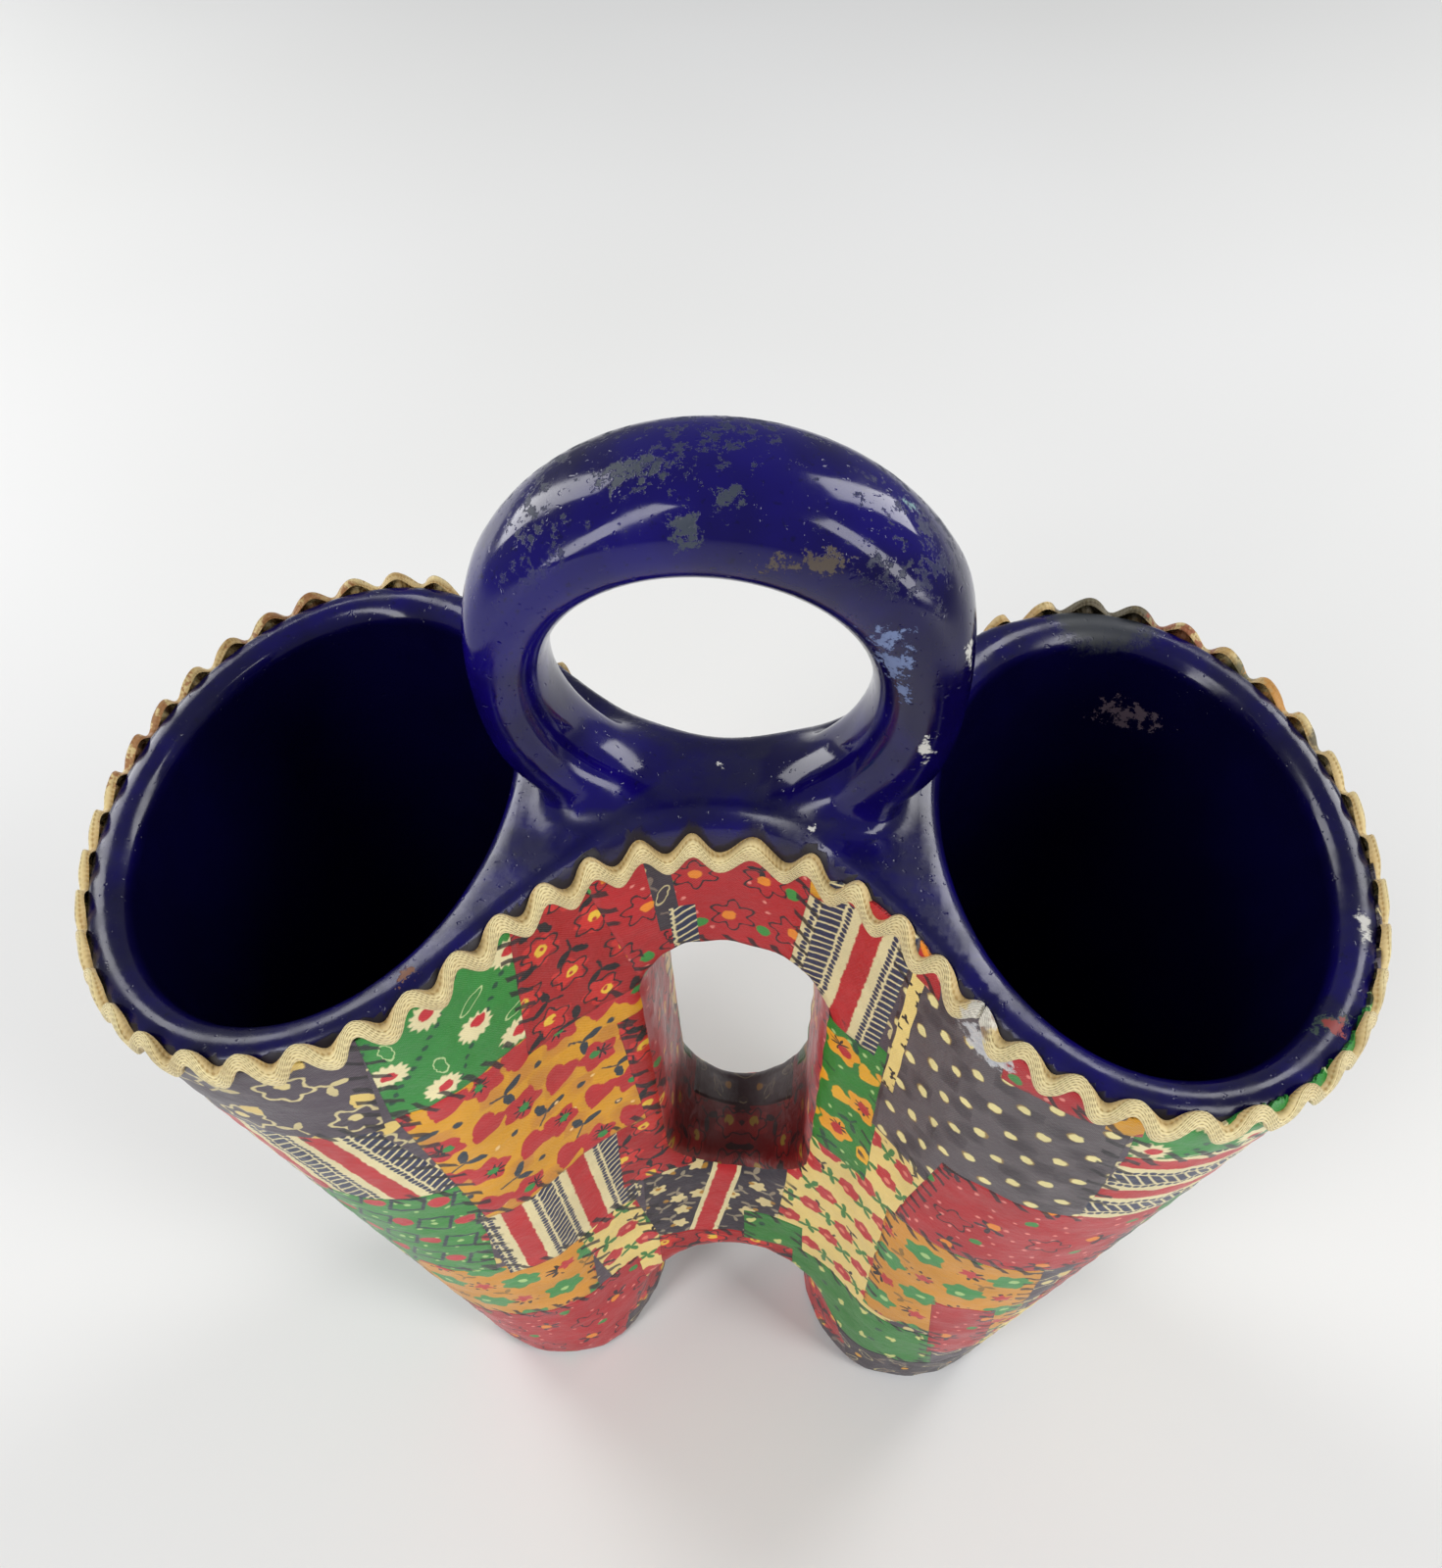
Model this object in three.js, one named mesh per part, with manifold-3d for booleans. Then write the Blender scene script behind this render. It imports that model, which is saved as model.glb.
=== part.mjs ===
// A double-sided vase: two leaning oval vessels on separate feet, joined by an
// upper bridge under an upright ring handle and by a lower bridge over an arch.
// Blue glazed ceramic, covered below the lips in patchwork cotton, with a wavy
// braid glued along the cloth's upper edge.
// Millimetres. +Z is up, X runs through both vessels, -Y is the front, and the
// origin is on the table under the middle of the vase.
import * as THREE from "three";
import { ParametricGeometry } from "three/addons/geometries/ParametricGeometry.js";
import { mergeVertices } from "three/addons/utils/BufferGeometryUtils.js";
import Module from "manifold-3d";

// The two vessels: each is an oval cup that widens and leans outward.
const FOOT_CENTRE_X = 36;
const FOOT_HALF_WIDTH = 21.5;
const FOOT_HALF_DEPTH = 23.5;
const FOOT_ROUND = 1.2;
const MOUTH_CENTRE_X = 59;
const MOUTH_CENTRE_Z = 156;
const MOUTH_HALF_WIDTH = 33.6;
const MOUTH_HALF_DEPTH = 44.6;
const MOUTH_TILT = THREE.MathUtils.degToRad(9.5);
const WALL = 6.5;
const FLOOR = 8;
const BOWL_ROUND = 7;
const BOWL_SHOULDER = 0.3;
const LIP_OUTER_ROUND = 2;
const LIP_INNER_ROUND = 2.6;

// The web between the vessels, which the window and the arch cut into an upper
// and a lower bridge.
const NECK_TOP_HALF_DEPTH = 7.5;
const NECK_FOOT_HALF_DEPTH = 10;
const FLARE_ANGLE = THREE.MathUtils.degToRad(48);
const SADDLE_Z = 163.8;
const SADDLE_HALF_LENGTH = 36.5;
const BRIDGE_SPLIT_Z = 100;

// The window between the bridges and the arch between the feet.
const WINDOW_CENTRE_X = 2;
const WINDOW_TOP_Z = 138;
const WINDOW_FOOT_Z = 62.5;
const WINDOW_TOP_HALF_WIDTH = 15;
const WINDOW_FOOT_HALF_WIDTH = 13.2;
const WINDOW_CORNER = 10;
const ARCH_CENTRE_X = 1.5;
const ARCH_HALF_WIDTH = 23.4;
const ARCH_HEIGHT = 33;

// The ring handle. Its finger hole sits a little left of and below the middle
// of its outer circle, so the band is thicker at the top and on the right.
const RING_CENTRE_Z = 186.4;
const RING_RADIUS = 33.5;
const RING_TOP_HALF_DEPTH = 10.3;
const RING_FOOT_HALF_DEPTH = 7.2;
const RING_SQUARENESS = 2.3;
const FINGER_HOLE_RADIUS = 20.8;
const FINGER_HOLE_X = -1.3;
const FINGER_HOLE_Z = 184.2;
const SEAT_ANGLE = THREE.MathUtils.degToRad(42);

// The cloth, and the braid along its upper edge.
const CLOTH = 0.5;
const CLOTH_EDGE_DROP = 4;
const SADDLE_TRIM_DROP = 1.4;
const SADDLE_TRIM_FADE = 3;
const CLOTH_HEM_Z = 1.5;
const BRAID_DROP = 5.2;
const BRAID_WIDTH = 4.4;
const BRAID_WAVE = 2.8;
const BRAID_PITCH = 7.8;
const BRAID_THICKNESS = 0.8;
const BRAID_END_GAP = 0.6;

// The gap that two touching pieces keep.
const GAP = 0.3;

// How finely the round surfaces are divided.
const VESSEL_SEGMENTS = 44;
const FLARE_SEGMENTS = 14;
const ROUND_STEPS = 3;
const RING_SEGMENTS = 44;
const RING_SECTION_SEGMENTS = 16;
const BRAID_STEPS = 6;
const BRAID_ROUTE_SAMPLES = 1200;
const CURVE_SEGMENTS = 10;
const EDGE_STEPS = 48;
const SETTLE_ROUNDS = 12;

// Longer than any piece, for the solids that only cut.
const REACH = 260;

const wasm = await Module();
wasm.setup();

// Solids: geometries in, solids out.

/** A closed geometry as a solid, with its faces turned outward. */
function solid(geometry) {
  geometry.deleteAttribute("normal");
  geometry.deleteAttribute("uv");
  const merged = mergeVertices(geometry, 1e-3);
  const indices = merged.index.array;
  const kept = [];
  let volume = 0;
  const corners = [0, 1, 2].map(() => new THREE.Vector3());
  for (let i = 0; i < indices.length; i += 3) {
    const face = indices.slice(i, i + 3);
    if (new Set(face).size < 3) continue;
    kept.push(...face);
    corners.forEach((corner, k) =>
      corner.fromBufferAttribute(merged.attributes.position, face[k]),
    );
    volume += corners[0].dot(corners[1].cross(corners[2]));
  }
  if (volume < 0) kept.reverse();
  return new wasm.Manifold(
    new wasm.Mesh({
      numProp: 3,
      vertProperties: merged.attributes.position.array,
      triVerts: new Uint32Array(kept),
    }),
  );
}

/** A named mesh of a solid. */
function part(name, body, material) {
  const made = body.getMesh();
  const geometry = new THREE.BufferGeometry();
  geometry.setAttribute(
    "position",
    new THREE.BufferAttribute(new Float32Array(made.vertProperties), 3),
  );
  geometry.setIndex(new THREE.BufferAttribute(made.triVerts, 1));
  geometry.computeVertexNormals();
  const mesh = new THREE.Mesh(geometry, material);
  mesh.name = name;
  return mesh;
}

/** A closed skin: rule(i, j) places point i round the section at station j. */
function skin(rule, around, stations) {
  return solid(
    new ParametricGeometry(
      (u, v, target) =>
        target.copy(
          rule(
            Math.round(u * around) % around,
            Math.round(v * (stations - 1)),
          ),
        ),
      around,
      stations - 1,
    ),
  );
}

/** An outline in the front view, extruded right through the vase. */
function throughCut(shape) {
  const geometry = new THREE.ExtrudeGeometry(shape, {
    depth: REACH,
    bevelEnabled: false,
    curveSegments: CURVE_SEGMENTS,
  });
  geometry.rotateX(Math.PI / 2);
  geometry.translate(0, REACH / 2, 0);
  return solid(geometry);
}

/** A box given by its lowest and highest corners. */
function block(low, high) {
  const size = high.map((value, k) => value - low[k]);
  const geometry = new THREE.BoxGeometry(...size);
  geometry.translate(...low.map((value, k) => value + size[k] / 2));
  return solid(geometry);
}

// The shape of the body, all from the driving sizes above.

/** The height of the two tilted rim planes at a distance from the middle. */
const rimHeight = (x) =>
  MOUTH_CENTRE_Z - (Math.abs(x) - MOUTH_CENTRE_X) * Math.tan(MOUTH_TILT);

/** The height of the body's upper edge, over the saddle too. */
function crestHeight(x) {
  if (Math.abs(x) >= SADDLE_HALF_LENGTH) return rimHeight(x);
  const share = (x / SADDLE_HALF_LENGTH) ** 2;
  return SADDLE_Z + (rimHeight(SADDLE_HALF_LENGTH) - SADDLE_Z) * share;
}

/** How much lower the cloth's edge and the braid sit along the saddle. */
function trimDrop(x) {
  const share = Math.min(Math.abs(x) / SADDLE_HALF_LENGTH, 1);
  return SADDLE_TRIM_DROP * (1 - share ** 2) ** SADDLE_TRIM_FADE;
}

/** The oval section of a vessel at a height. */
function oval(z) {
  const share = z / MOUTH_CENTRE_Z;
  return {
    centre: THREE.MathUtils.lerp(FOOT_CENTRE_X, MOUTH_CENTRE_X, share),
    halfWidth: THREE.MathUtils.lerp(FOOT_HALF_WIDTH, MOUTH_HALF_WIDTH, share),
    halfDepth: THREE.MathUtils.lerp(FOOT_HALF_DEPTH, MOUTH_HALF_DEPTH, share),
  };
}

/** Finds the height of a point that lies a drop below an upper edge. */
function settle(edgeHeight, drop, pointAt) {
  let z = MOUTH_CENTRE_Z;
  for (let i = 0; i < SETTLE_ROUNDS; i++) z = edgeHeight(pointAt(z).x) - drop;
  return z;
}

/** A point of a vessel's wall, grown along its normal; angle 0 is outermost. */
function wallPoint(side, angle, grow, height) {
  const pointAt = (z) => {
    const { centre, halfWidth, halfDepth } = oval(z);
    const point = new THREE.Vector2(
      halfWidth * Math.cos(angle),
      halfDepth * Math.sin(angle),
    );
    const normal = new THREE.Vector2(
      Math.cos(angle) / halfWidth,
      Math.sin(angle) / halfDepth,
    ).normalize();
    point.addScaledVector(normal, grow).x += centre;
    return point;
  };
  const z =
    "z" in height ? height.z : settle(rimHeight, height.drop, pointAt);
  return new THREE.Vector3(side * pointAt(z).x, pointAt(z).y, z);
}

/** Where the flared web meets a vessel, and its slope there. */
function flareEnd(z) {
  const { centre, halfWidth, halfDepth } = oval(z);
  return {
    x: centre - halfWidth * Math.cos(FLARE_ANGLE),
    y: halfDepth * Math.sin(FLARE_ANGLE),
    slope: halfDepth / (halfWidth * Math.tan(FLARE_ANGLE)),
  };
}

/** The web's half depth, with the share of its run from the middle outward. */
function flare(share, z) {
  const end = flareEnd(z);
  const neck = THREE.MathUtils.mapLinear(
    z,
    WINDOW_FOOT_Z,
    SADDLE_Z,
    NECK_FOOT_HALF_DEPTH,
    NECK_TOP_HALF_DEPTH,
  );
  const u = Math.abs(share);
  const near = 2 * u ** 3 - 3 * u ** 2 + 1;
  const far = 1 - near;
  const lean = (u ** 3 - u ** 2) * end.slope * end.x;
  const rise =
    (neck - end.y) * (6 * u ** 2 - 6 * u) +
    (3 * u ** 2 - 2 * u) * end.slope * end.x;
  return {
    halfDepth: neck * near + end.y * far + lean,
    slope: rise / end.x,
  };
}

/** A point of the web's face, grown outward along its own normal. */
function facePoint(front, share, grow, height) {
  const pointAt = (z) => {
    const { halfDepth, slope } = flare(share, z);
    const normal = new THREE.Vector2(-Math.sign(share) * slope, 1).normalize();
    return new THREE.Vector2(
      share * flareEnd(z).x,
      halfDepth,
    ).addScaledVector(normal, grow);
  };
  const z =
    "z" in height ? height.z : settle(crestHeight, height.drop, pointAt);
  return new THREE.Vector3(pointAt(z).x, front * pointAt(z).y, z);
}

/** Steps over a rounded edge: how far in and how far down each one lies. */
function roundedEdge(radius, grow) {
  const steps = [];
  for (let i = 0; i <= ROUND_STEPS; i++) {
    const angle = ((1 - i / ROUND_STEPS) * Math.PI) / 2;
    steps.push({
      inset: radius - (radius + grow) * Math.sin(angle),
      drop: radius - (radius + grow) * Math.cos(angle),
    });
  }
  return steps;
}

/** A vessel's outer shape as a filled solid, grown outward. */
function filledVessel(side, grow, baseZ) {
  const stations = [
    { centre: true, z: baseZ },
    ...(grow
      ? [{ grow, z: baseZ }]
      : [
          { grow: -FOOT_ROUND, z: baseZ },
          { grow: 0, z: baseZ + FOOT_ROUND },
        ]),
    ...roundedEdge(LIP_OUTER_ROUND, grow).map(({ inset, drop }) => ({
      grow: -inset,
      drop,
    })),
    { centre: true, drop: -grow },
  ];
  return skin(
    (i, j) => {
      const angle = (2 * Math.PI * i) / VESSEL_SEGMENTS;
      const { centre, grow: out, ...height } = stations[j];
      if (!centre) return wallPoint(side, angle, out, height);
      const z = "z" in height ? height.z : MOUTH_CENTRE_Z - height.drop;
      return new THREE.Vector3(side * oval(z).centre, 0, z);
    },
    VESSEL_SEGMENTS,
    stations.length,
  );
}

/** The space inside a vessel, open at the rim. */
function vesselHollow(side) {
  const stations = [
    { centre: true, z: FLOOR },
    { inset: WALL + BOWL_ROUND, z: FLOOR },
    {
      inset: WALL + BOWL_ROUND * BOWL_SHOULDER,
      z: FLOOR + BOWL_ROUND * BOWL_SHOULDER,
    },
    { inset: WALL, z: FLOOR + BOWL_ROUND },
    ...roundedEdge(LIP_INNER_ROUND, 0).map(({ inset, drop }) => ({
      inset: WALL - inset,
      drop,
    })),
    { inset: WALL - LIP_INNER_ROUND, drop: -LIP_INNER_ROUND },
    { centre: true, drop: -LIP_INNER_ROUND },
  ];
  return skin(
    (i, j) => {
      const angle = (2 * Math.PI * i) / VESSEL_SEGMENTS;
      const { centre, inset, ...height } = stations[j];
      if (!centre) return wallPoint(side, angle, -inset, height);
      const z = "z" in height ? height.z : MOUTH_CENTRE_Z - height.drop;
      return new THREE.Vector3(side * oval(z).centre, 0, z);
    },
    VESSEL_SEGMENTS,
    stations.length,
  );
}

/** The uncut web between the vessels, grown outward. */
function web(grow, baseZ) {
  const face = [
    { out: grow, z: baseZ },
    { out: grow, z: (baseZ + BRIDGE_SPLIT_Z) / 2 },
    { out: grow, z: BRIDGE_SPLIT_Z },
    ...roundedEdge(LIP_OUTER_ROUND, grow).map(({ inset, drop }) => ({
      out: -inset,
      drop,
    })),
  ];
  const loop = [
    ...face.map((station) => ({ front: -1, ...station })),
    ...face.toReversed().map((station) => ({ front: 1, ...station })),
  ];
  return skin(
    (i, j) => {
      const { front, out, ...height } = loop[i];
      if (j === 0 || j === FLARE_SEGMENTS + 2) {
        const edge = j === 0 ? -1 : 1;
        return new THREE.Vector3(
          edge * flareEnd(BRIDGE_SPLIT_Z).x,
          0,
          BRIDGE_SPLIT_Z,
        );
      }
      const share = (2 * (j - 1)) / FLARE_SEGMENTS - 1;
      return facePoint(front, share, out, height);
    },
    loop.length,
    FLARE_SEGMENTS + 3,
  );
}

/** The window's outline, grown outward. */
function windowShape(grow) {
  const top = WINDOW_TOP_Z + grow;
  const foot = WINDOW_FOOT_Z - grow;
  const topHalf = WINDOW_TOP_HALF_WIDTH + grow;
  const footHalf = WINDOW_FOOT_HALF_WIDTH + grow;
  const corner = WINDOW_CORNER + grow;
  const shape = new THREE.Shape();
  const left = (half) => WINDOW_CENTRE_X - half;
  const right = (half) => WINDOW_CENTRE_X + half;
  shape.moveTo(left(footHalf - corner), foot);
  shape.lineTo(right(footHalf - corner), foot);
  shape.quadraticCurveTo(right(footHalf), foot, right(footHalf), foot + corner);
  shape.lineTo(right(topHalf), top - corner);
  shape.quadraticCurveTo(right(topHalf), top, right(topHalf - corner), top);
  shape.lineTo(left(topHalf - corner), top);
  shape.quadraticCurveTo(left(topHalf), top, left(topHalf), top - corner);
  shape.lineTo(left(footHalf), foot + corner);
  shape.quadraticCurveTo(left(footHalf), foot, left(footHalf - corner), foot);
  return shape;
}

/** The arch's outline, grown outward and open below the table. */
function archShape(grow) {
  const half = ARCH_HALF_WIDTH + grow;
  const shape = new THREE.Shape();
  shape.moveTo(ARCH_CENTRE_X - half, -ARCH_HEIGHT);
  shape.lineTo(ARCH_CENTRE_X + half, -ARCH_HEIGHT);
  shape.lineTo(ARCH_CENTRE_X + half, 0);
  shape.absellipse(ARCH_CENTRE_X, 0, half, ARCH_HEIGHT + grow, 0, Math.PI);
  shape.closePath();
  return shape;
}

/** The web with its window and arch cut, grown outward. */
function openWeb(grow, baseZ) {
  return web(grow, baseZ)
    .subtract(throughCut(windowShape(-grow)))
    .subtract(throughCut(archShape(-grow)));
}

/** The whole ring, grown outward. */
function ring(grow) {
  const power = (value) =>
    Math.sign(value) * Math.abs(value) ** (2 / RING_SQUARENESS);
  return skin(
    (i, j) => {
      const turn = (2 * Math.PI * (j % RING_SEGMENTS)) / RING_SEGMENTS;
      const section = (2 * Math.PI * i) / RING_SECTION_SEGMENTS;
      const outer = new THREE.Vector3(
        (RING_RADIUS + grow) * Math.cos(turn),
        0,
        RING_CENTRE_Z + (RING_RADIUS + grow) * Math.sin(turn),
      );
      const inner = new THREE.Vector3(
        FINGER_HOLE_X + (FINGER_HOLE_RADIUS - grow) * Math.cos(turn),
        0,
        FINGER_HOLE_Z + (FINGER_HOLE_RADIUS - grow) * Math.sin(turn),
      );
      const halfDepth =
        THREE.MathUtils.mapLinear(
          Math.sin(turn),
          -1,
          1,
          RING_FOOT_HALF_DEPTH,
          RING_TOP_HALF_DEPTH,
        ) + grow;
      const point = inner.lerp(outer, (1 + power(Math.cos(section))) / 2);
      point.y = halfDepth * power(Math.sin(section));
      return point;
    },
    RING_SECTION_SEGMENTS,
    RING_SEGMENTS + 1,
  );
}

/** The wedge under the ring's centre that belongs to the upper bridge. */
function seatWedge() {
  const spread = Math.tan(SEAT_ANGLE) * RING_CENTRE_Z;
  const shape = new THREE.Shape();
  shape.moveTo(0, RING_CENTRE_Z);
  shape.lineTo(-spread, 0);
  shape.lineTo(spread, 0);
  shape.closePath();
  return throughCut(shape);
}

/** Everything above the line that the cloth ends at. */
function aboveClothEdge() {
  const widest = MOUTH_CENTRE_X + MOUTH_HALF_WIDTH + LIP_OUTER_ROUND;
  const edgeHeight = (x) => crestHeight(x) - CLOTH_EDGE_DROP - trimDrop(x);
  const shape = new THREE.Shape();
  shape.moveTo(-widest, edgeHeight(-widest));
  for (let i = 1; i <= EDGE_STEPS; i++) {
    const x = THREE.MathUtils.lerp(-widest, widest, i / EDGE_STEPS);
    shape.lineTo(x, edgeHeight(x));
  }
  shape.lineTo(widest, REACH);
  shape.lineTo(-widest, REACH);
  shape.closePath();
  return throughCut(shape);
}

// The ceramic pieces.

const vesselSolids = [-1, 1].map((side) => ({
  side,
  shell: filledVessel(side, 0, 0).subtract(vesselHollow(side)),
  clearance: filledVessel(side, GAP, -GAP),
}));

const clearOfVessels = (body) =>
  vesselSolids.reduce((left, { clearance }) => left.subtract(clearance), body);

const bridges = openWeb(0, 0);
const seat = seatWedge();
const seatLift = GAP / Math.sin(SEAT_ANGLE);
const splitLow = block([-REACH, -REACH, -REACH], [REACH, REACH, BRIDGE_SPLIT_Z]);
const splitHigh = block(
  [-REACH, -REACH, BRIDGE_SPLIT_Z - GAP],
  [REACH, REACH, REACH],
);

const upperBridge = clearOfVessels(
  bridges.add(ring(0).intersect(seat)).subtract(splitLow),
);
const lowerBridge = clearOfVessels(bridges.subtract(splitHigh));
const ringHandle = clearOfVessels(
  ring(0).subtract(seat.translate(0, 0, seatLift)).subtract(web(GAP, 0)),
);

// The cloth pieces.

/** The whole body, grown outward, for the cloth to lie on. */
function bodyGrown(grow) {
  return [-1, 1]
    .map((side) => filledVessel(side, grow, -FLOOR))
    .reduce((left, right) => left.add(right), openWeb(grow, -FLOOR));
}

const cloth = bodyGrown(GAP + CLOTH)
  .subtract(bodyGrown(GAP))
  .subtract(aboveClothEdge())
  .subtract(block([-REACH, -REACH, -REACH], [REACH, REACH, CLOTH_HEM_Z]));
const windowLining = cloth.intersect(throughCut(windowShape(0)));
const archLining = cloth.intersect(throughCut(archShape(-GAP)));
const panels = cloth
  .subtract(throughCut(windowShape(0)))
  .subtract(throughCut(archShape(0)));
const frontPanel = panels.subtract(
  block([-REACH, -GAP / 2, -REACH], [REACH, REACH, REACH]),
);
const backPanel = panels.subtract(
  block([-REACH, -REACH, -REACH], [REACH, GAP / 2, REACH]),
);

// The braid.

/** A point on the body's outside; turn 0 to 1 goes once round the vase. */
function outsidePoint(turn, along, out) {
  const arc = 2 * (Math.PI - FLARE_ANGLE);
  const quarter = Math.floor(turn * 4) % 4;
  const share = turn * 4 - Math.floor(turn * 4);
  const radius = LIP_OUTER_ROUND;
  const bend = Math.min(along / radius, Math.PI / 2);
  const grow = (radius + out) * Math.sin(bend) - radius;
  const height = {
    drop:
      radius -
      (radius + out) * Math.cos(bend) +
      Math.max(along - (radius * Math.PI) / 2, 0),
  };
  if (quarter === 0) return wallPoint(1, (share - 0.5) * arc, grow, height);
  if (quarter === 1) return facePoint(1, 1 - 2 * share, grow, height);
  if (quarter === 2) return wallPoint(-1, (0.5 - share) * arc, grow, height);
  return facePoint(-1, 2 * share - 1, grow, height);
}

/** The turns that lie at even steps along the braid's route. */
function evenTurns(count) {
  const samples = BRAID_ROUTE_SAMPLES;
  const route = [];
  let length = 0;
  let last = outsidePoint(0, BRAID_DROP, 0);
  for (let i = 0; i <= samples; i++) {
    const point = outsidePoint(i / samples, BRAID_DROP, 0);
    length += point.distanceTo(last);
    route.push({ turn: i / samples, length });
    last = point;
  }
  const usable = length - BRAID_END_GAP;
  const turns = [];
  let next = 0;
  for (let i = 0; i <= count(usable); i++) {
    const wanted = (usable * i) / count(usable);
    while (route[next + 1] && route[next + 1].length < wanted) next++;
    const from = route[next];
    const to = route[Math.min(next + 1, samples)];
    const share = (wanted - from.length) / Math.max(to.length - from.length, 1e-9);
    turns.push(THREE.MathUtils.lerp(from.turn, to.turn, share));
  }
  return turns;
}

/** One wavy strip round the whole vase, its two ends meeting at one place. */
function braid() {
  const waves = (length) => Math.round(length / BRAID_PITCH);
  const turns = evenTurns((length) => waves(length) * BRAID_STEPS);
  const under = GAP + CLOTH + GAP;
  const columns = [-BRAID_WIDTH / 2, 0, BRAID_WIDTH / 2];
  const corners = [
    ...columns.map((across) => ({ across, out: under })),
    ...columns
      .toReversed()
      .map((across) => ({ across, out: under + BRAID_THICKNESS })),
  ];
  const last = turns.length + 1;
  return skin(
    (i, j) => {
      const step = THREE.MathUtils.clamp(j - 1, 0, turns.length - 1);
      const wave =
        (BRAID_WAVE / 2) * Math.sin((2 * Math.PI * step) / BRAID_STEPS);
      const end = j === 0 || j === last;
      const { across, out } = end
        ? { across: 0, out: under + BRAID_THICKNESS / 2 }
        : corners[i];
      const middle = outsidePoint(turns[step], BRAID_DROP, out);
      const along = BRAID_DROP + trimDrop(middle.x) + wave + across;
      return outsidePoint(turns[step], along, out);
    },
    corners.length,
    last + 1,
  );
}

// The materials.

const glaze = () =>
  new THREE.MeshStandardMaterial({
    color: 0x140a6e,
    roughness: 0.15,
    metalness: 0,
  });
const patchwork = (color) =>
  new THREE.MeshStandardMaterial({ color, roughness: 0.45, metalness: 0 });
const cream = () =>
  new THREE.MeshStandardMaterial({
    color: 0xd7c38c,
    roughness: 0.8,
    metalness: 0,
  });

// The assembly.

const ceramic = new THREE.Group();
for (const { side, shell } of vesselSolids)
  ceramic.add(part(side < 0 ? "left_vessel" : "right_vessel", shell, glaze()));
ceramic.add(part("upper_bridge", upperBridge, glaze()));
ceramic.add(part("lower_bridge", lowerBridge, glaze()));
ceramic.add(part("ring_handle", ringHandle, glaze()));

const covering = new THREE.Group();
covering.add(part("front_patchwork", frontPanel, patchwork(0xbe282d)));
covering.add(part("back_patchwork", backPanel, patchwork(0x2d8d41)));
covering.add(part("window_lining", windowLining, patchwork(0xe19628)));
covering.add(part("arch_lining", archLining, patchwork(0x504b50)));
covering.add(part("rickrack_braid", braid(), cream()));

const vase = new THREE.Group();
vase.add(ceramic, covering);

export default vase;
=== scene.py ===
"""A double-sided vase of cobalt glazed ceramic, dressed in patchwork cotton and braid.

Two oval vessels lean outward from separate feet. They meet under an upright ring
handle, over an open window and an arch. The body is one smooth form, worked out in
millimetres from the sizes below, and every piece is cut from its skin or laid on it.
"""

from __future__ import annotations

import logging
import math
from dataclasses import dataclass, field
from enum import Enum, auto
from functools import partial, reduce
from itertools import combinations, product
from typing import Callable, Optional, Sequence, Union

import bpy
import numpy as np
from mathutils import Matrix, Vector


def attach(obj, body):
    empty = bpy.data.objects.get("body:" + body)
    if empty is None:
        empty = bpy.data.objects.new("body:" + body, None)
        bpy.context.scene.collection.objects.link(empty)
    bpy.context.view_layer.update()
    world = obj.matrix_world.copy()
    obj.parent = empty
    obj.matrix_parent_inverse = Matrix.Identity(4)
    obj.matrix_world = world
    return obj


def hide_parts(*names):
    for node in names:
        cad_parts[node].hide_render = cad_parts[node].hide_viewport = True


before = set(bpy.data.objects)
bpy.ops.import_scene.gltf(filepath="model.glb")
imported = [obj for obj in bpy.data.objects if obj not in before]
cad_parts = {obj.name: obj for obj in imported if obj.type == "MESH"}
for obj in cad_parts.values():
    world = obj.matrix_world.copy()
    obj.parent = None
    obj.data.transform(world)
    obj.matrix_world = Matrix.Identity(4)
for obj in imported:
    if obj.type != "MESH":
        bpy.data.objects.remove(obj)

Array = np.ndarray
Colour = tuple[float, float, float]
Field = Callable[[Array, Array, Array], Array]
Key = Union[int, str]
Feed = Union["Wire", float, Sequence[float]]

MILLIMETRE = 0.001
SPECK = 1e-9
PHOTO_HEIGHT = 1600

log = logging.getLogger("vase")


def linear(*channels: float) -> Colour:
    """Turns a screen colour into the linear colour that a shader takes.

    Args:
        *channels: Red, green and blue, from 0 to 255.

    Returns:
        The three linear channels, from 0 to 1.
    """
    shares = [value / 255.0 for value in channels]
    lit = [share / 12.92 if share <= 0.04045 else ((share + 0.055) / 1.055) ** 2.4 for share in shares]
    return (lit[0], lit[1], lit[2])


def smooth_max(first: Array, second: Array, reach: float) -> Array:
    """Keeps what lies in both signed distance fields, with its edge rounded within a reach."""
    gap = np.maximum(reach - np.abs(first - second), 0.0) / reach
    return np.maximum(first, second) + gap * gap * reach * 0.25


def smooth_min(first: Array, second: Array, reach: float) -> Array:
    """Keeps what lies in either field, with a fillet of that reach."""
    return -smooth_max(-first, -second, reach)


def ellipse(across: Array, along: Array, half_width: Array, half_length: Array) -> Array:
    """Signed distance to an ellipse round the origin, truest near its line.

    Args:
        across: Places along its width.
        along: Places along its length.
        half_width: Its half width.
        half_length: Its half length.

    Returns:
        The signed distances, negative inside.
    """
    across = across / half_width
    along = along / half_length
    radius = np.hypot(across, along) + SPECK
    steepness = np.hypot(across / half_width, along / half_length) + SPECK
    return radius * (radius - 1) / steepness


def columns(*arrays: Array) -> Array:
    """Stands some rows of numbers side by side, one column each."""
    return np.stack(arrays, axis=1)


def ramp(value: Array, begin: float, run: float) -> Array:
    """Rises from 0 where a value passes its beginning to 1 after its run. A run below 0 falls."""
    return np.clip((value - begin) / run, 0, 1)


def run_length(*steps: Array) -> Array:
    """The length run along a line up to each of its points, from its coordinates."""
    return np.r_[0, np.cumsum(np.sqrt(sum(np.diff(step) ** 2 for step in steps)))]


# The form of the vase.


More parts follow.
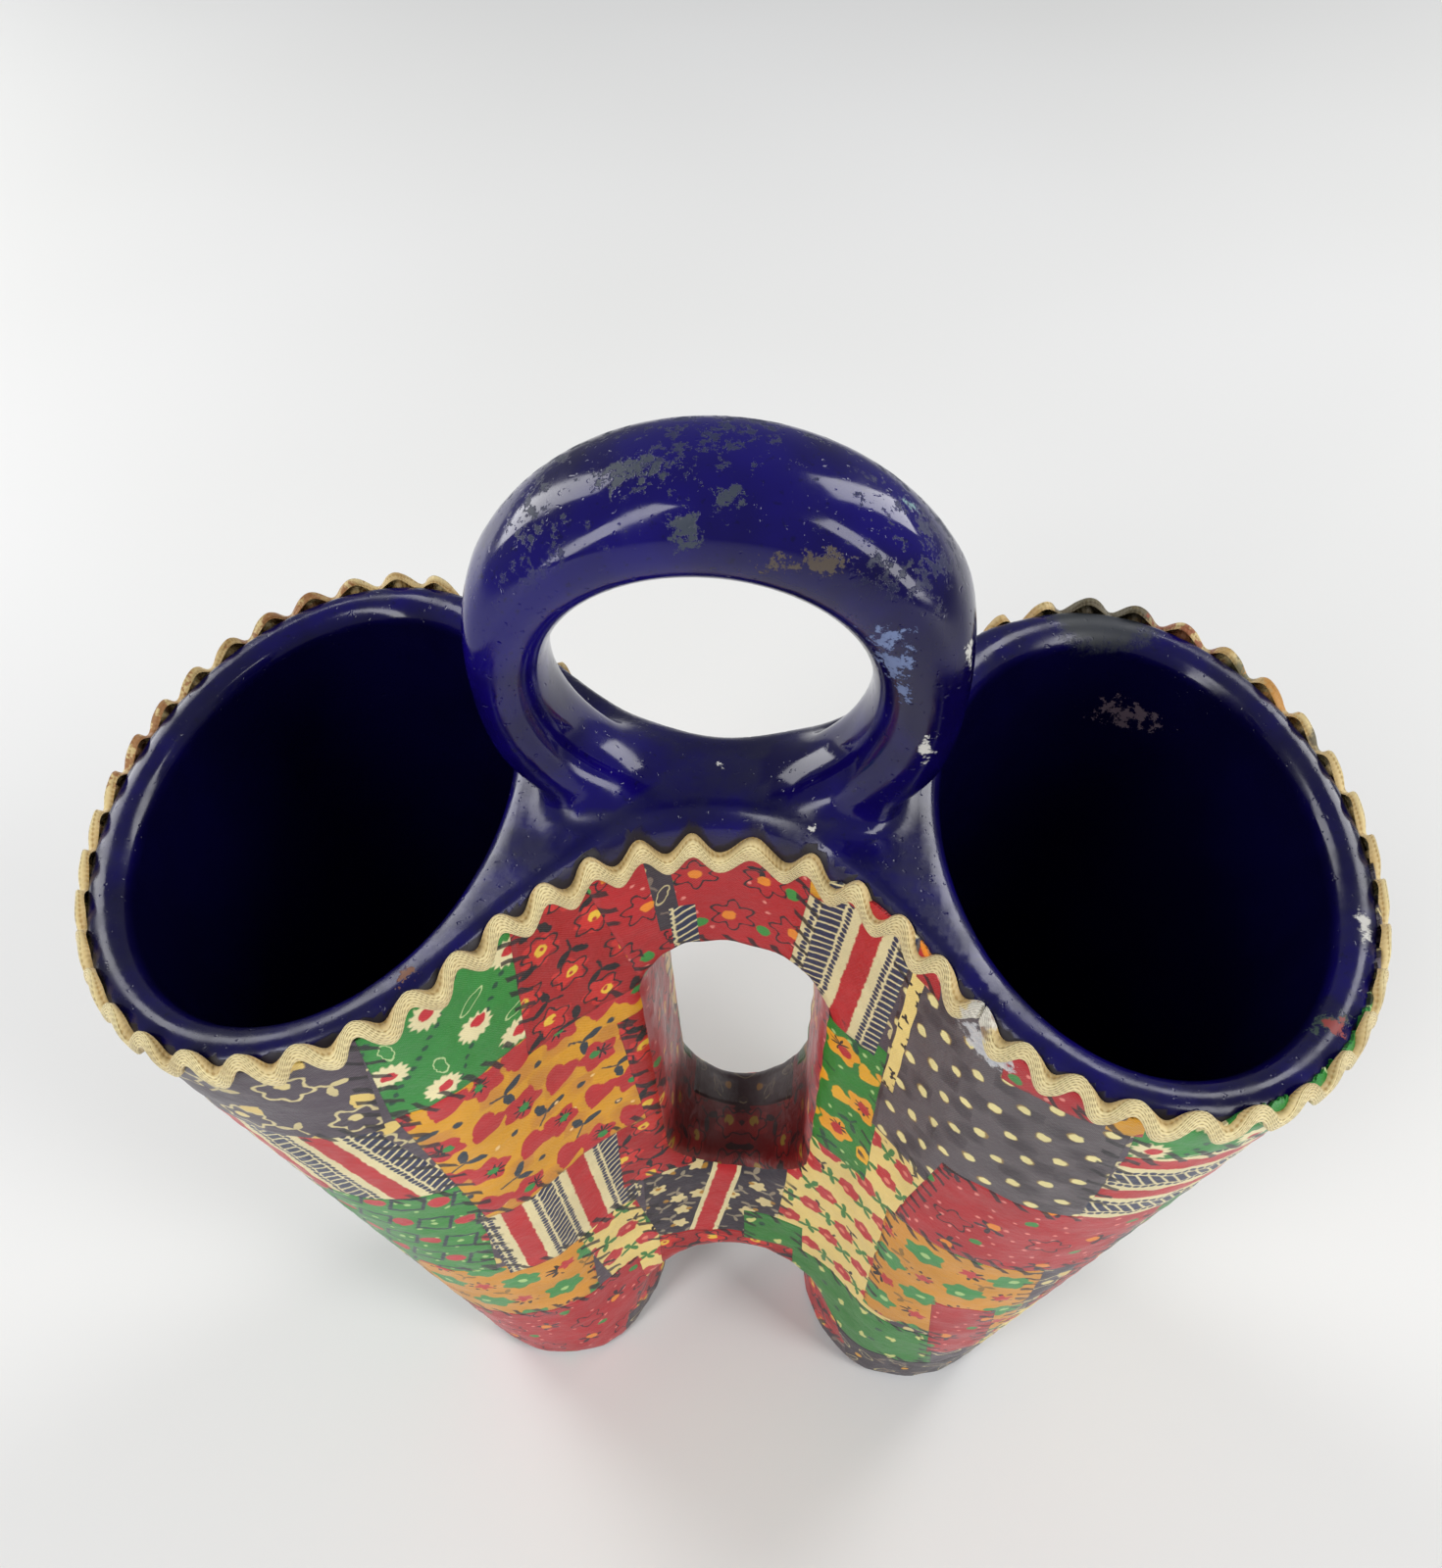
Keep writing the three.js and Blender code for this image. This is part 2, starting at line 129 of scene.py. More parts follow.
@dataclass(frozen=True)
class VesselForm:
    """One leaning oval vessel. Sizes are in millimetres, and x is taken as |x|."""

    foot_x: float = 36.0
    foot_half_width: float = 20.8
    foot_half_depth: float = 23.5
    mouth_x: float = 59.0
    mouth_z: float = 156.0
    mouth_half_width: float = 35.3
    mouth_half_depth: float = 45.0
    tilt: float = math.radians(9.5)
    wall: float = 6.6
    floor: float = 8.0
    bowl_round: float = 10.0

    def section(self, z: Array) -> tuple[Array, Array, Array]:
        """The oval at a height.

        Args:
            z: Heights above the table.

        Returns:
            The oval's centre, its half width and its half depth.
        """
        share = z / self.mouth_z
        centre = self.foot_x + (self.mouth_x - self.foot_x) * share
        width = self.foot_half_width + (self.mouth_half_width - self.foot_half_width) * share
        depth = self.foot_half_depth + (self.mouth_half_depth - self.foot_half_depth) * share
        return centre, width, depth

    def oval(self, x: Array, y: Array, z: Array, inset: float) -> Array:
        """Signed distance to the leaning wall, moved inward by an inset."""
        centre, width, depth = self.section(z)
        return ellipse(x - centre, y, width - inset, depth - inset)

    def rim_height(self, x: Array) -> Array:
        """The height of the tilted rim at a distance from the middle."""
        return self.mouth_z - (x - self.mouth_x) * math.tan(self.tilt)


@dataclass(frozen=True)
class BridgeForm:
    """The web between the vessels, with its window and its arch, in millimetres."""

    neck_top: float = 7.5
    neck_foot: float = 10.0
    flare_angle: float = math.radians(48)
    flare_run_on: float = 8.0
    saddle_z: float = 163.8
    saddle_half: float = 36.5
    split_z: float = 100.0
    window_x: float = 2.0
    window_top: float = 133.8
    window_foot: float = 64.6
    window_top_half: float = 14.2
    window_foot_half: float = 11.6
    window_top_corner: float = 8.5
    window_foot_corner: float = 11.4
    window_round: float = 3.6
    arch_x: float = 1.5
    arch_half: float = 22.8
    arch_height: float = 31.0
    arch_round: float = 3.6

    def half_depth(self, x: Array, z: Array, vessel: VesselForm) -> tuple[Array, Array]:
        """The web's half depth, seen from the front.

        Args:
            x: Places sideways.
            z: Heights.
            vessel: The vessels that the web flares into.

        Returns:
            The half depths, and how far out the web meets the vessel.
        """
        centre, width, depth = vessel.section(z)
        end_x = centre - width * math.cos(self.flare_angle)
        end_y = depth * math.sin(self.flare_angle)
        slope = depth / (width * math.tan(self.flare_angle))
        height = (z - self.window_foot) / (self.saddle_z - self.window_foot)
        neck = self.neck_foot + (self.neck_top - self.neck_foot) * height
        share = np.minimum(np.abs(x) / end_x, 1.0)
        near = 2 * share**3 - 3 * share**2 + 1
        past = np.clip(np.abs(x) - end_x, 0, self.flare_run_on)
        run_on = slope * past * (1 - past / (2 * self.flare_run_on))
        lean = (share**3 - share**2) * slope * end_x
        return neck * near + end_y * (1 - near) + lean + run_on, end_x

    def window(self, x: Array, z: Array) -> Array:
        """Signed distance to the window's outline in the front view.

        Args:
            x: Places sideways.
            z: Heights.

        Returns:
            The signed distances, negative inside.
        """
        tall = (self.window_top - self.window_foot) / 2
        middle = (self.window_top + self.window_foot) / 2
        share = ramp(z, self.window_foot, 2 * tall)
        half = self.window_foot_half + (self.window_top_half - self.window_foot_half) * share
        corner = np.where(z > middle, self.window_top_corner, self.window_foot_corner)
        side = np.abs(x - self.window_x) - half + corner
        rise = np.abs(z - middle) - tall + corner
        outside = np.hypot(np.maximum(side, 0), np.maximum(rise, 0))
        return outside + np.minimum(np.maximum(side, rise), 0) - corner

    def arch(self, x: Array, z: Array) -> Array:
        """Signed distance to the arch's outline in the front view."""
        return ellipse(x - self.arch_x, z, self.arch_half, self.arch_height)


@dataclass(frozen=True)
class RingForm:
    """The ring handle. Its finger hole sits a little off the middle, in millimetres."""

    centre_z: float = 186.4
    radius: float = 33.5
    top_half_depth: float = 10.3
    foot_half_depth: float = 7.2
    squareness: float = 2.3
    hole_radius: float = 20.8
    hole_x: float = -1.3
    hole_z: float = 184.2
    thinnest: float = 2.0

    def distance(self, x: Array, y: Array, z: Array) -> Array:
        """Signed distance to the ring.

        Args:
            x: Places sideways.
            y: Places front to back.
            z: Heights.

        Returns:
            The signed distances, negative inside.
        """
        outer = np.hypot(x, z - self.centre_z) - self.radius
        inner = self.hole_radius - np.hypot(x - self.hole_x, z - self.hole_z)
        band = np.maximum(-(outer + inner), self.thinnest)
        turn = np.arctan2(z - self.centre_z, x)
        middle = (self.foot_half_depth + self.top_half_depth) / 2
        swing = (self.top_half_depth - self.foot_half_depth) / 2
        half = middle + swing * np.sin(turn)
        across = np.abs(outer - inner) / band
        along = np.abs(y) / half
        power = self.squareness
        radius = (across**power + along**power) ** (1 / power)
        return (radius - 1) * np.minimum(band / 2, half)


@dataclass(frozen=True)
class BodyForm:
    """The whole fired body as one smooth form, in millimetres."""

    vessel: VesselForm = VesselForm()
    bridge: BridgeForm = BridgeForm()
    ring: RingForm = RingForm()
    lip_outer_reach: float = 3.8
    lip_inner_reach: float = 3.8
    foot_reach: float = 3.0
    join_reach: float = 3.0
    ring_reach: float = 4.2

    def crest(self, x: Array) -> Array:
        """The height of the body's upper edge, over the saddle too.

        Args:
            x: Places sideways.

        Returns:
            The heights of the edge there.
        """
        bridge = self.bridge
        distance = np.abs(x)
        rim = self.vessel.rim_height(distance)
        shoulder = float(self.vessel.rim_height(np.array(bridge.saddle_half)))
        share = (x / bridge.saddle_half) ** 2
        saddle = bridge.saddle_z + (shoulder - bridge.saddle_z) * share
        return np.where(distance >= bridge.saddle_half, rim, saddle)

    def outside(self, x: Array, y: Array, z: Array) -> Array:
        """The filled outside, with neither hollows nor a ring.

        Args:
            x: Places sideways.
            y: Places front to back.
            z: Heights.

        Returns:
            The signed distances, negative inside.
        """
        bridge = self.bridge
        distance = np.abs(x)
        wall = self.vessel.oval(distance, y, z, 0.0)
        half, _ = bridge.half_depth(x, z, self.vessel)
        centre, _, _ = self.vessel.section(z)
        web = np.maximum(np.abs(y) - half, distance - centre)
        web = smooth_max(web, -bridge.window(x, z), bridge.window_round)
        web = smooth_max(web, -bridge.arch(x, z), bridge.arch_round)
        return smooth_min(wall, web, self.join_reach)

    def distance(self, x: Array, y: Array, z: Array) -> Array:
        """Signed distance to the whole glazed body.

        Args:
            x: Places sideways.
            y: Places front to back.
            z: Heights.

        Returns:
            The signed distances, negative inside.
        """
        vessel = self.vessel
        shell = smooth_max(self.outside(x, y, z), z - self.crest(x), self.lip_outer_reach)
        shell = smooth_min(shell, self.ring.distance(x, y, z), self.ring_reach)
        hollow = vessel.oval(np.abs(x), y, z, vessel.wall)
        hollow = smooth_max(hollow, vessel.floor - z, vessel.bowl_round)
        shell = smooth_max(shell, -hollow, self.lip_inner_reach)
        return smooth_max(shell, -z, self.foot_reach)


# Skins: triangle meshes with a row of values for every point.


@dataclass
class Skin:
    """A triangle mesh whose points carry named values that a cut keeps.

    Attributes:
        points: One row for each point, in millimetres.
        normals: One unit normal for each point.
        faces: One row of three point numbers for each triangle.
        values: Further numbers for each point, by name.
    """

    points: Array
    normals: Array
    faces: Array
    values: dict[str, Array] = field(default_factory=dict)

    def centres(self) -> Array:
        """The middle of every triangle."""
        return self.points[self.faces].mean(axis=1)

    def edges(self) -> Array:
        """The three directed edges of every triangle, all the first ones first."""
        return np.concatenate([self.faces[:, [0, 1]], self.faces[:, [1, 2]], self.faces[:, [2, 0]]])

    def kept(self, chosen: Array) -> Skin:
        """The part of the skin made of the chosen triangles.

        Args:
            chosen: One truth value for each triangle.

        Returns:
            A new skin, with the unused points left out.
        """
        faces = self.faces[chosen]
        used = np.unique(faces)
        place = np.full(len(self.points), -1)
        place[used] = np.arange(len(used))
        values = {name: column[used] for name, column in self.values.items()}
        return Skin(self.points[used], self.normals[used], place[faces], values)

    def cut(self, level: Array, near: Optional[Array] = None, snap: float = 0.06) -> Skin:
        """Splits the triangles along the line where a value passes zero.

        Args:
            level: One number for each point.
            near: Which points the cut may run past, or None for all.
            snap: Numbers smaller than this count as lying on the line.

        Returns:
            A skin in which no triangle crosses the line.
        """
        level = np.where(np.abs(level) < snap, 0.0, level)
        pairs = np.sort(self.edges(), axis=1)
        count = len(self.points)
        keys, back = np.unique(pairs[:, 0].astype(np.int64) * count + pairs[:, 1], return_inverse=True)
        start, end = keys // count, keys % count
        crossing = level[start] * level[end] < 0
        if near is not None:
            crossing &= near[start] & near[end]
        if not crossing.any():
            return self
        start, end = start[crossing], end[crossing]
        share = level[start] / (level[start] - level[end])
        number = np.full(len(keys), -1)
        number[crossing] = count + np.arange(len(start))

        def grown(column: Array) -> Array:
            """A column with one more number for each new point."""
            return np.concatenate([column, column[start] * (1 - share) + column[end] * share])

        points = np.apply_along_axis(grown, 0, self.points)
        normals = np.apply_along_axis(grown, 0, self.normals)
        normals[count:] /= np.linalg.norm(normals[count:], axis=1)[:, None]
        values = {name: grown(column) for name, column in self.values.items()}
        return Skin(points, normals, self._split(number[back].reshape(3, -1).T), values)

    def _split(self, added: Array) -> Array:
        """The triangles after new points were put on some of their edges.

        Args:
            added: For each triangle, the new point on each edge, or -1.

        Returns:
            The new rows of faces.
        """
        counts = (added >= 0).sum(axis=1)
        result = [self.faces[counts == 0]]
        for turn in range(3):
            order = [turn, (turn + 1) % 3, (turn + 2) % 3]
            corner = self.faces[:, order]
            edge = added[:, order]
            one = (counts == 1) & (edge[:, 0] >= 0)
            a, b, c = corner[one].T
            n = edge[one, 0]
            result += [columns(a, n, c), columns(n, b, c)]
            two = (counts == 2) & (edge[:, 2] < 0)
            a, b, c = corner[two].T
            n, m = edge[two, 0], edge[two, 1]
            result += [columns(n, b, m), columns(a, n, m), columns(a, m, c)]
        return np.concatenate(result)

    def border(self) -> tuple[Array, Array]:
        """The directed edges that belong to one triangle only.

        Returns:
            One row of two point numbers for each edge, and the edges' triangles.
        """
        edges = self.edges()
        keys = edges.min(axis=1).astype(np.int64) * len(self.points) + edges.max(axis=1)
        _, place, times = np.unique(keys, return_inverse=True, return_counts=True)
        single = np.flatnonzero(times[place] == 1)
        return edges[single], single % len(self.faces)


CORNERS = tuple(product((0, 1), repeat=3))


@dataclass(frozen=True)
class SkinMaker:
    """Draws the skin of a form: a net over a grid, then drawn onto the surface."""

    step: float = 1.25
    low: tuple[float, float, float] = (-96.0, -50.0, -3.0)
    high: tuple[float, float, float] = (96.0, 50.0, 224.0)
    rounds: int = 3
    furthest: float = 0.6
    probe: float = 0.05

    def slope(self, form: Field, points: Array) -> Array:
        """The gradient of a form's distance at some points.

        Args:
            form: The form's signed distance.
            points: One row for each point.

        Returns:
            One gradient for each point.
        """
        result = np.zeros_like(points)
        for axis in range(3):
            shift = np.zeros(3)
            shift[axis] = self.probe
            ahead = form(*(points + shift).T)
            behind = form(*(points - shift).T)
            result[:, axis] = (ahead - behind) / (2 * self.probe)
        return result

    def drawn(self, form: Field, points: Array) -> tuple[Array, Array]:
        """Moves points onto a form's surface.

        Args:
            form: The form's signed distance.
            points: Points close to the surface.

        Returns:
            The moved points, and the surface's unit normals there.
        """
        begin = points.copy()
        for _ in range(self.rounds):
            slope = self.slope(form, points)
            steep = np.maximum((slope * slope).sum(axis=1), 0.05)
            points = points - (form(*points.T) / steep)[:, None] * slope
            points = begin + np.clip(points - begin, -self.furthest, self.furthest)
        slope = self.slope(form, points)
        length = np.maximum(np.linalg.norm(slope, axis=1), 1e-6)
        return points, slope / length[:, None]

    def make(self, form: Field) -> Skin:
        """Makes the closed skin of a form.

        Args:
            form: The form's signed distance.

        Returns:
            The skin, with its faces turned outward.
        """
        axes = [np.arange(a, b + self.step, self.step) for a, b in zip(self.low, self.high)]
        grid = np.meshgrid(*axes, indexing="ij")
        level = form(*grid).astype(np.float32)
        inside = level < 0
        shape = np.array(level.shape)
        total = np.zeros(shape - 1, np.uint8)
        for i, j, k in CORNERS:
            total += inside[i : shape[0] - 1 + i, j : shape[1] - 1 + j, k : shape[2] - 1 + k]
        active = (total > 0) & (total < 8)
        number = np.full(active.shape, -1, np.int64)
        cells = np.argwhere(active)
        number[active] = np.arange(len(cells))
        place = self._cell_points(level, cells)
        points = (cells + place) * self.step + np.array([axis[0] for axis in axes])
        quads = self._quads(inside, number)
        points, normals = self.drawn(form, points)
        faces = np.concatenate([quads[:, [0, 1, 2]], quads[:, [0, 2, 3]]])
        return Skin(points, normals, faces)

    def _cell_points(self, level: Array, cells: Array) -> Array:
        """Where the surface crosses each cell, as shares of the cell.

        Args:
            level: The form's signed distances on the grid.
            cells: The grid places of the cells that it crosses.

        Returns:
            The mean of the crossings of each cell's sides.
        """
        total = np.zeros((len(cells), 3))
        count = np.zeros(len(cells))
        for first, second in combinations(CORNERS, 2):
            step = np.subtract(second, first)
            if np.abs(step).sum() != 1:
                continue
            low = level[tuple((cells + first).T)]
            high = level[tuple((cells + second).T)]
            crossed = (low < 0) != (high < 0)
            share = np.where(crossed, low / np.where(crossed, low - high, 1), 0)
            total += np.where(crossed[:, None], first + share[:, None] * step, 0)
            count += crossed
        return total / count[:, None]

    def _quads(self, inside: Array, number: Array) -> Array:
        """The four-sided faces that join the cells along the surface.

        Args:
            inside: Which grid places lie in the form.
            number: Each cell's own number, or -1.

        Returns:
            The rows of four cell numbers, turned outward.
        """
        quads = []
        for axis in range(3):
            before = [slice(1, -1)] * 3
            after = [slice(1, -1)] * 3
            before[axis] = slice(0, -1)
            after[axis] = slice(1, None)
            first = inside[tuple(before)]
            crossed = np.argwhere(first != inside[tuple(after)])
            others = [other for other in range(3) if other != axis]
            ring = []
            for shift in ((0, 0), (1, 0), (1, 1), (0, 1)):
                cell = crossed.copy()
                cell[:, others] += shift
                ring.append(number[tuple(cell.T)])
            quad = columns(*ring)
            turned = first[tuple(crossed.T)] == (axis == 1)
            quad[turned] = quad[turned, ::-1]
            quads.append(quad)
        return np.concatenate(quads)


# Places on the outside of the body.


@dataclass
class ClothMap:
    """Unrolls the outside of the body into breadths round it and heights.

    A breadth is the length along the surface from the middle of the front, or of
    the back, measured level. Both are in millimetres.
    """

    form: BodyForm
    levels: Array = field(default_factory=lambda: np.linspace(0, 170, 35))
    web_steps: int = 40
    wall_steps: int = 80

    def __post_init__(self) -> None:
        """Measures the tables of lengths along the web and round the wall."""
        vessel = self.form.vessel
        bridge = self.form.bridge
        web = []
        wall = []
        for height in self.levels:
            centre, width, depth = vessel.section(height)
            end = centre - width * math.cos(bridge.flare_angle)
            x = np.linspace(0, end, self.web_steps + 1)
            y, _ = bridge.half_depth(x, np.full_like(x, height), vessel)
            web.append(run_length(x, y))
            turn = np.linspace(math.pi - bridge.flare_angle, 0, self.wall_steps + 1)
            x = centre + width * np.cos(turn)
            y = depth * np.sin(turn)
            wall.append(web[-1][-1] + run_length(x, y))
        self.web_table = np.array(web)
        self.wall_table = np.array(wall)

    def breadth(self, points: Array) -> Array:
        """The signed breadth of points on the outside.

        Args:
            points: Points on or near the outside surface.

        Returns:
            One breadth for each point, positive on the right.
        """
        vessel = self.form.vessel
        angle = self.form.bridge.flare_angle
        x = np.abs(points[:, 0])
        y = np.abs(points[:, 1])
        z = points[:, 2]
        centre, width, depth = vessel.section(z)
        end = centre - width * math.cos(angle)
        web_share = ramp(x, 0, end)
        turn = np.arctan2(y / depth, (x - centre) / width)
        wall_share = ramp(turn, math.pi - angle, angle - math.pi)
        on_web = self._look_up(self.web_table, z, web_share)
        on_wall = self._look_up(self.wall_table, z, wall_share)
        return np.sign(points[:, 0]) * np.where(x < end, on_web, on_wall)

    def _look_up(self, table: Array, z: Array, share: Array) -> Array:
        """Reads a table between its rows and columns.

        Args:
            table: One row for each level.
            z: Heights.
            share: Shares of each row's length.

        Returns:
            One number for each height.
        """
        row = np.clip((z - self.levels[0]) / (self.levels[1] - self.levels[0]), 0, len(self.levels) - 1.001)
        column = share * (table.shape[1] - 1)
        column = np.clip(column, 0, table.shape[1] - 1.001)
        i = row.astype(int)
        j = column.astype(int)
        a = row - i
        b = column - j
        low = table[i, j] * (1 - b) + table[i, j + 1] * b
        high = table[i + 1, j] * (1 - b) + table[i + 1, j + 1] * b
        return low * (1 - a) + high * a


# The legs of the way round the edge, from the middle of the front: whether a leg lies on
# the web, where it starts, which way it goes, and on which side.
LEGS = (
    (1, 0, 1, -1),
    (0, -1, 1, 1),
    (0, 0, 1, 1),
    (1, 1, -1, 1),
    (1, 0, -1, 1),
    (0, 1, -1, -1),
    (0, 0, -1, -1),
    (1, -1, 1, -1),
)


@dataclass
class TrimRoute:
    """The way that the braid and the cloth's edge run round the body, in millimetres.

    Attributes:
        form: The body.
        maker: Reads its slopes.
        saddle_drop: How much lower the way runs at the saddle.
        saddle_reach: How far from the middle that drop ends.
        back_drop: How much lower it runs at the back of the saddle.
        back_reach: How far from the middle that drop ends.
        stands: How far the trim's crests stand up from the body, from 0 to 1.
        lip_top: How far below the edge the rounding of the lip begins.
        web_end: How far from the middle the vessels' lean begins to count.
        web_fade: Over what length it comes to count in full.
        least_steep: The least square of a slope that a step divides by.
        samples: How many pieces the way is measured in.
    """

    form: BodyForm
    maker: SkinMaker
    saddle_drop: float = 4.9
    saddle_reach: float = 40.0
    back_drop: float = 4.5
    back_reach: float = 52.0
    stands: float = 0.5
    lip_top: float = 2.4
    web_end: float = 10.0
    web_fade: float = 20.0
    least_steep: float = 0.15
    samples: int = 1500

    def __post_init__(self) -> None:
        """Measures the route at the braid's middle, from the front round to the right."""
        vessel = self.form.vessel
        bridge = self.form.bridge
        arc = math.pi - bridge.flare_angle
        corner = np.linspace(0, len(LEGS), self.samples + 1)
        leg = np.minimum(corner.astype(int), len(LEGS) - 1)
        on_web, start, way, side = np.array(LEGS)[leg].T
        share = start + way * (corner - leg)
        z = np.full(len(corner), vessel.mouth_z)
        for _ in range(12):
            centre, width, depth = vessel.section(z)
            x_web = share * (centre - width * math.cos(bridge.flare_angle))
            y_web, _ = bridge.half_depth(x_web, z, vessel)
            x = np.where(on_web, x_web, side * (centre + width * np.cos(share * arc)))
            y = np.where(on_web, side * y_web, depth * np.sin(share * arc))
            z = self.form.crest(x) - self.drop(x, y)
        self.path = columns(x, y, z)
        self.marks = run_length(x, y, z)
        self.length = float(self.marks[-1])

    def drop(self, x: Array, y: Array) -> Array:
        """How much lower the trim sits along the saddle, most of all at the back.

        Args:
            x: Places sideways.
            y: Places front to back.

        Returns:
            The drops in millimetres.
        """
        share = np.minimum(np.abs(x) / self.saddle_reach, 1.0)
        behind = 1 - np.minimum(np.abs(x) / self.back_reach, 1.0) ** 4
        return self.saddle_drop * (1 - share**2) ** 3 + self.back_drop * (y > 0) * behind

    def at(self, run: Array) -> Array:
        """Points at some lengths along the route, which may pass its end."""
        run = np.mod(run, self.length)
        return columns(*(np.interp(run, self.marks, line) for line in self.path.T))

    def laid(self, run: Array, drop: Array) -> tuple[Array, Array]:
        """Points on the body's outside, below its upper edge.

        Args:
            run: Lengths along the route.
            drop: How far below the upper edge each point lies.

        Returns:
            The points on the surface, and its normals there.
        """
        points = self.at(run)
        vessel = self.form.vessel
        low = np.maximum(drop, self.lip_top)
        height = points[:, 2].copy()
        points[:, 2] = self.form.crest(points[:, 0]) - low
        centre_from, _, depth_from = vessel.section(height)
        centre_to, _, depth_to = vessel.section(points[:, 2])
        share = depth_to / depth_from
        side = np.sign(points[:, 0])
        beyond = ramp(np.abs(points[:, 0]), self.web_end, self.web_fade)
        points[:, 0] += beyond * (
            side * (centre_to - centre_from) + (points[:, 0] - side * centre_from) * (share - 1)
        )
        points[:, 1] *= share
        points[:, 2] = self.form.crest(points[:, 0]) - low
        self._drawn(points, 8, 2)
        points[:, 2] += low - drop
        upright = points.copy()
        self._drawn(points, 6, 3)
        points += self.stands * (upright - points)
        slope = self.maker.slope(self.form.distance, points)
        return points, slope / np.linalg.norm(slope, axis=1)[:, None]

    def _drawn(self, points: Array, rounds: int, axes: int) -> None:
        """Moves points onto the body, along its slope in the first axes.

        Args:
            points: The points to move, in place.
            rounds: How often each point is moved.
            axes: 2 to move level, 3 to move freely.
        """
        for _ in range(rounds):
            slope = self.maker.slope(self.form.distance, points)[:, :axes]
            level = self.form.distance(*points.T)
            steep = np.maximum((slope**2).sum(axis=1), self.least_steep)
            points[:, :axes] -= np.clip(level / steep, -1.0, 1.0)[:, None] * slope

    def nearest(self, points: Array) -> Array:
        """The run along the route that lies nearest to each point, seen from above.

        Args:
            points: One row for each point.

        Returns:
            One length along the route for each point.
        """
        flat = self.path[None, :, :2]
        parts = np.array_split(points[:, None, :2], 1 + len(points) // 2000)
        return np.concatenate([self.marks[((part - flat) ** 2).sum(axis=2).argmin(axis=1)] for part in parts])


# Finishes: node materials.


@dataclass(frozen=True)
class Wire:
    """What comes out of a node. Each sum and change made with it adds a node to its board."""

    board: NodeBoard
    socket: bpy.types.NodeSocket

    def math(self, operation: str, *others: Feed) -> Wire:
        """A math node's result, from this and up to two more values."""
        return self.board.node("Math", 0, dict(enumerate((self, *others))), operation=operation)

    def __add__(self, other: Feed) -> Wire:
        """The sum."""
        return self.math("ADD", other)

    def __sub__(self, other: Feed) -> Wire:
        """The difference."""
        return self.math("SUBTRACT", other)

    def __mul__(self, other: Feed) -> Wire:
        """The product."""
        return self.math("MULTIPLY", other)

    def __truediv__(self, other: Feed) -> Wire:
        """The quotient."""
        return self.math("DIVIDE", other)

    def __abs__(self) -> Wire:
        """The size without its sign."""
        return self.math("ABSOLUTE")

    def most(self, *others: Wire) -> Wire:
        """The largest of this and the others."""
        return reduce(lambda first, second: first.math("MAXIMUM", second), others, self)

    def fade(self, low: float, high: float, start: float = 0.0, end: float = 1.0) -> Wire:
        """Turns this smoothly into another value.

        Args:
            low: Where the start holds.
            high: Where the end holds.
            start: The result at low.
            end: The result at high.

        Returns:
            The result.
        """
        ends = (low, high, start, end) if low <= high else (high, low, end, start)
        names = ("Value", "From Min", "From Max", "To Min", "To Max")
        feeds = dict(zip(names, (self, *ends)))
        return self.board.node("MapRange", "Result", feeds, interpolation_type="SMOOTHSTEP")

    def mix(self, first: Feed, second: Feed) -> Wire:
        """Mixes two colours, with this as the second's share."""
        return self.board.node("Mix", 2, {0: self, 6: first, 7: second}, data_type="RGBA")

    def shade(self, share: Feed) -> Wire:
        """Multiplies this colour or vector by a number."""
        return self.board.node("VectorMath", 0, {0: self, "Scale": share}, operation="SCALE")

    def parts(self) -> tuple[Wire, Wire, Wire]:
        """Takes this vector apart."""
        outputs = self.board.node("SeparateXYZ", 0, {0: self}).socket.node.outputs
        return Wire(self.board, outputs[0]), Wire(self.board, outputs[1]), Wire(self.board, outputs[2])

    def joined(self, y: Wire, z: Feed = 0.0) -> Wire:
        """Puts this and two more numbers into a vector."""
        return self.board.node("CombineXYZ", 0, {0: self, 1: y, 2: z})

    def noise(self, scale: float, detail: float = 2.0, rough: float = 0.5) -> Wire:
        """Cloudy noise from 0 to 1 at this place, with a scale and so many finer layers."""
        feeds = {"Vector": self, "Scale": scale, "Detail": detail, "Roughness": rough}
        return self.board.node("TexNoise", "Fac", feeds)

    def chance(self) -> tuple[Wire, Wire, Wire]:
        """Three even chances for this whole-numbered place."""
        noise = self.board.node("TexWhiteNoise", "Color", {"Vector": self}, noise_dimensions="3D")
        return noise.parts()


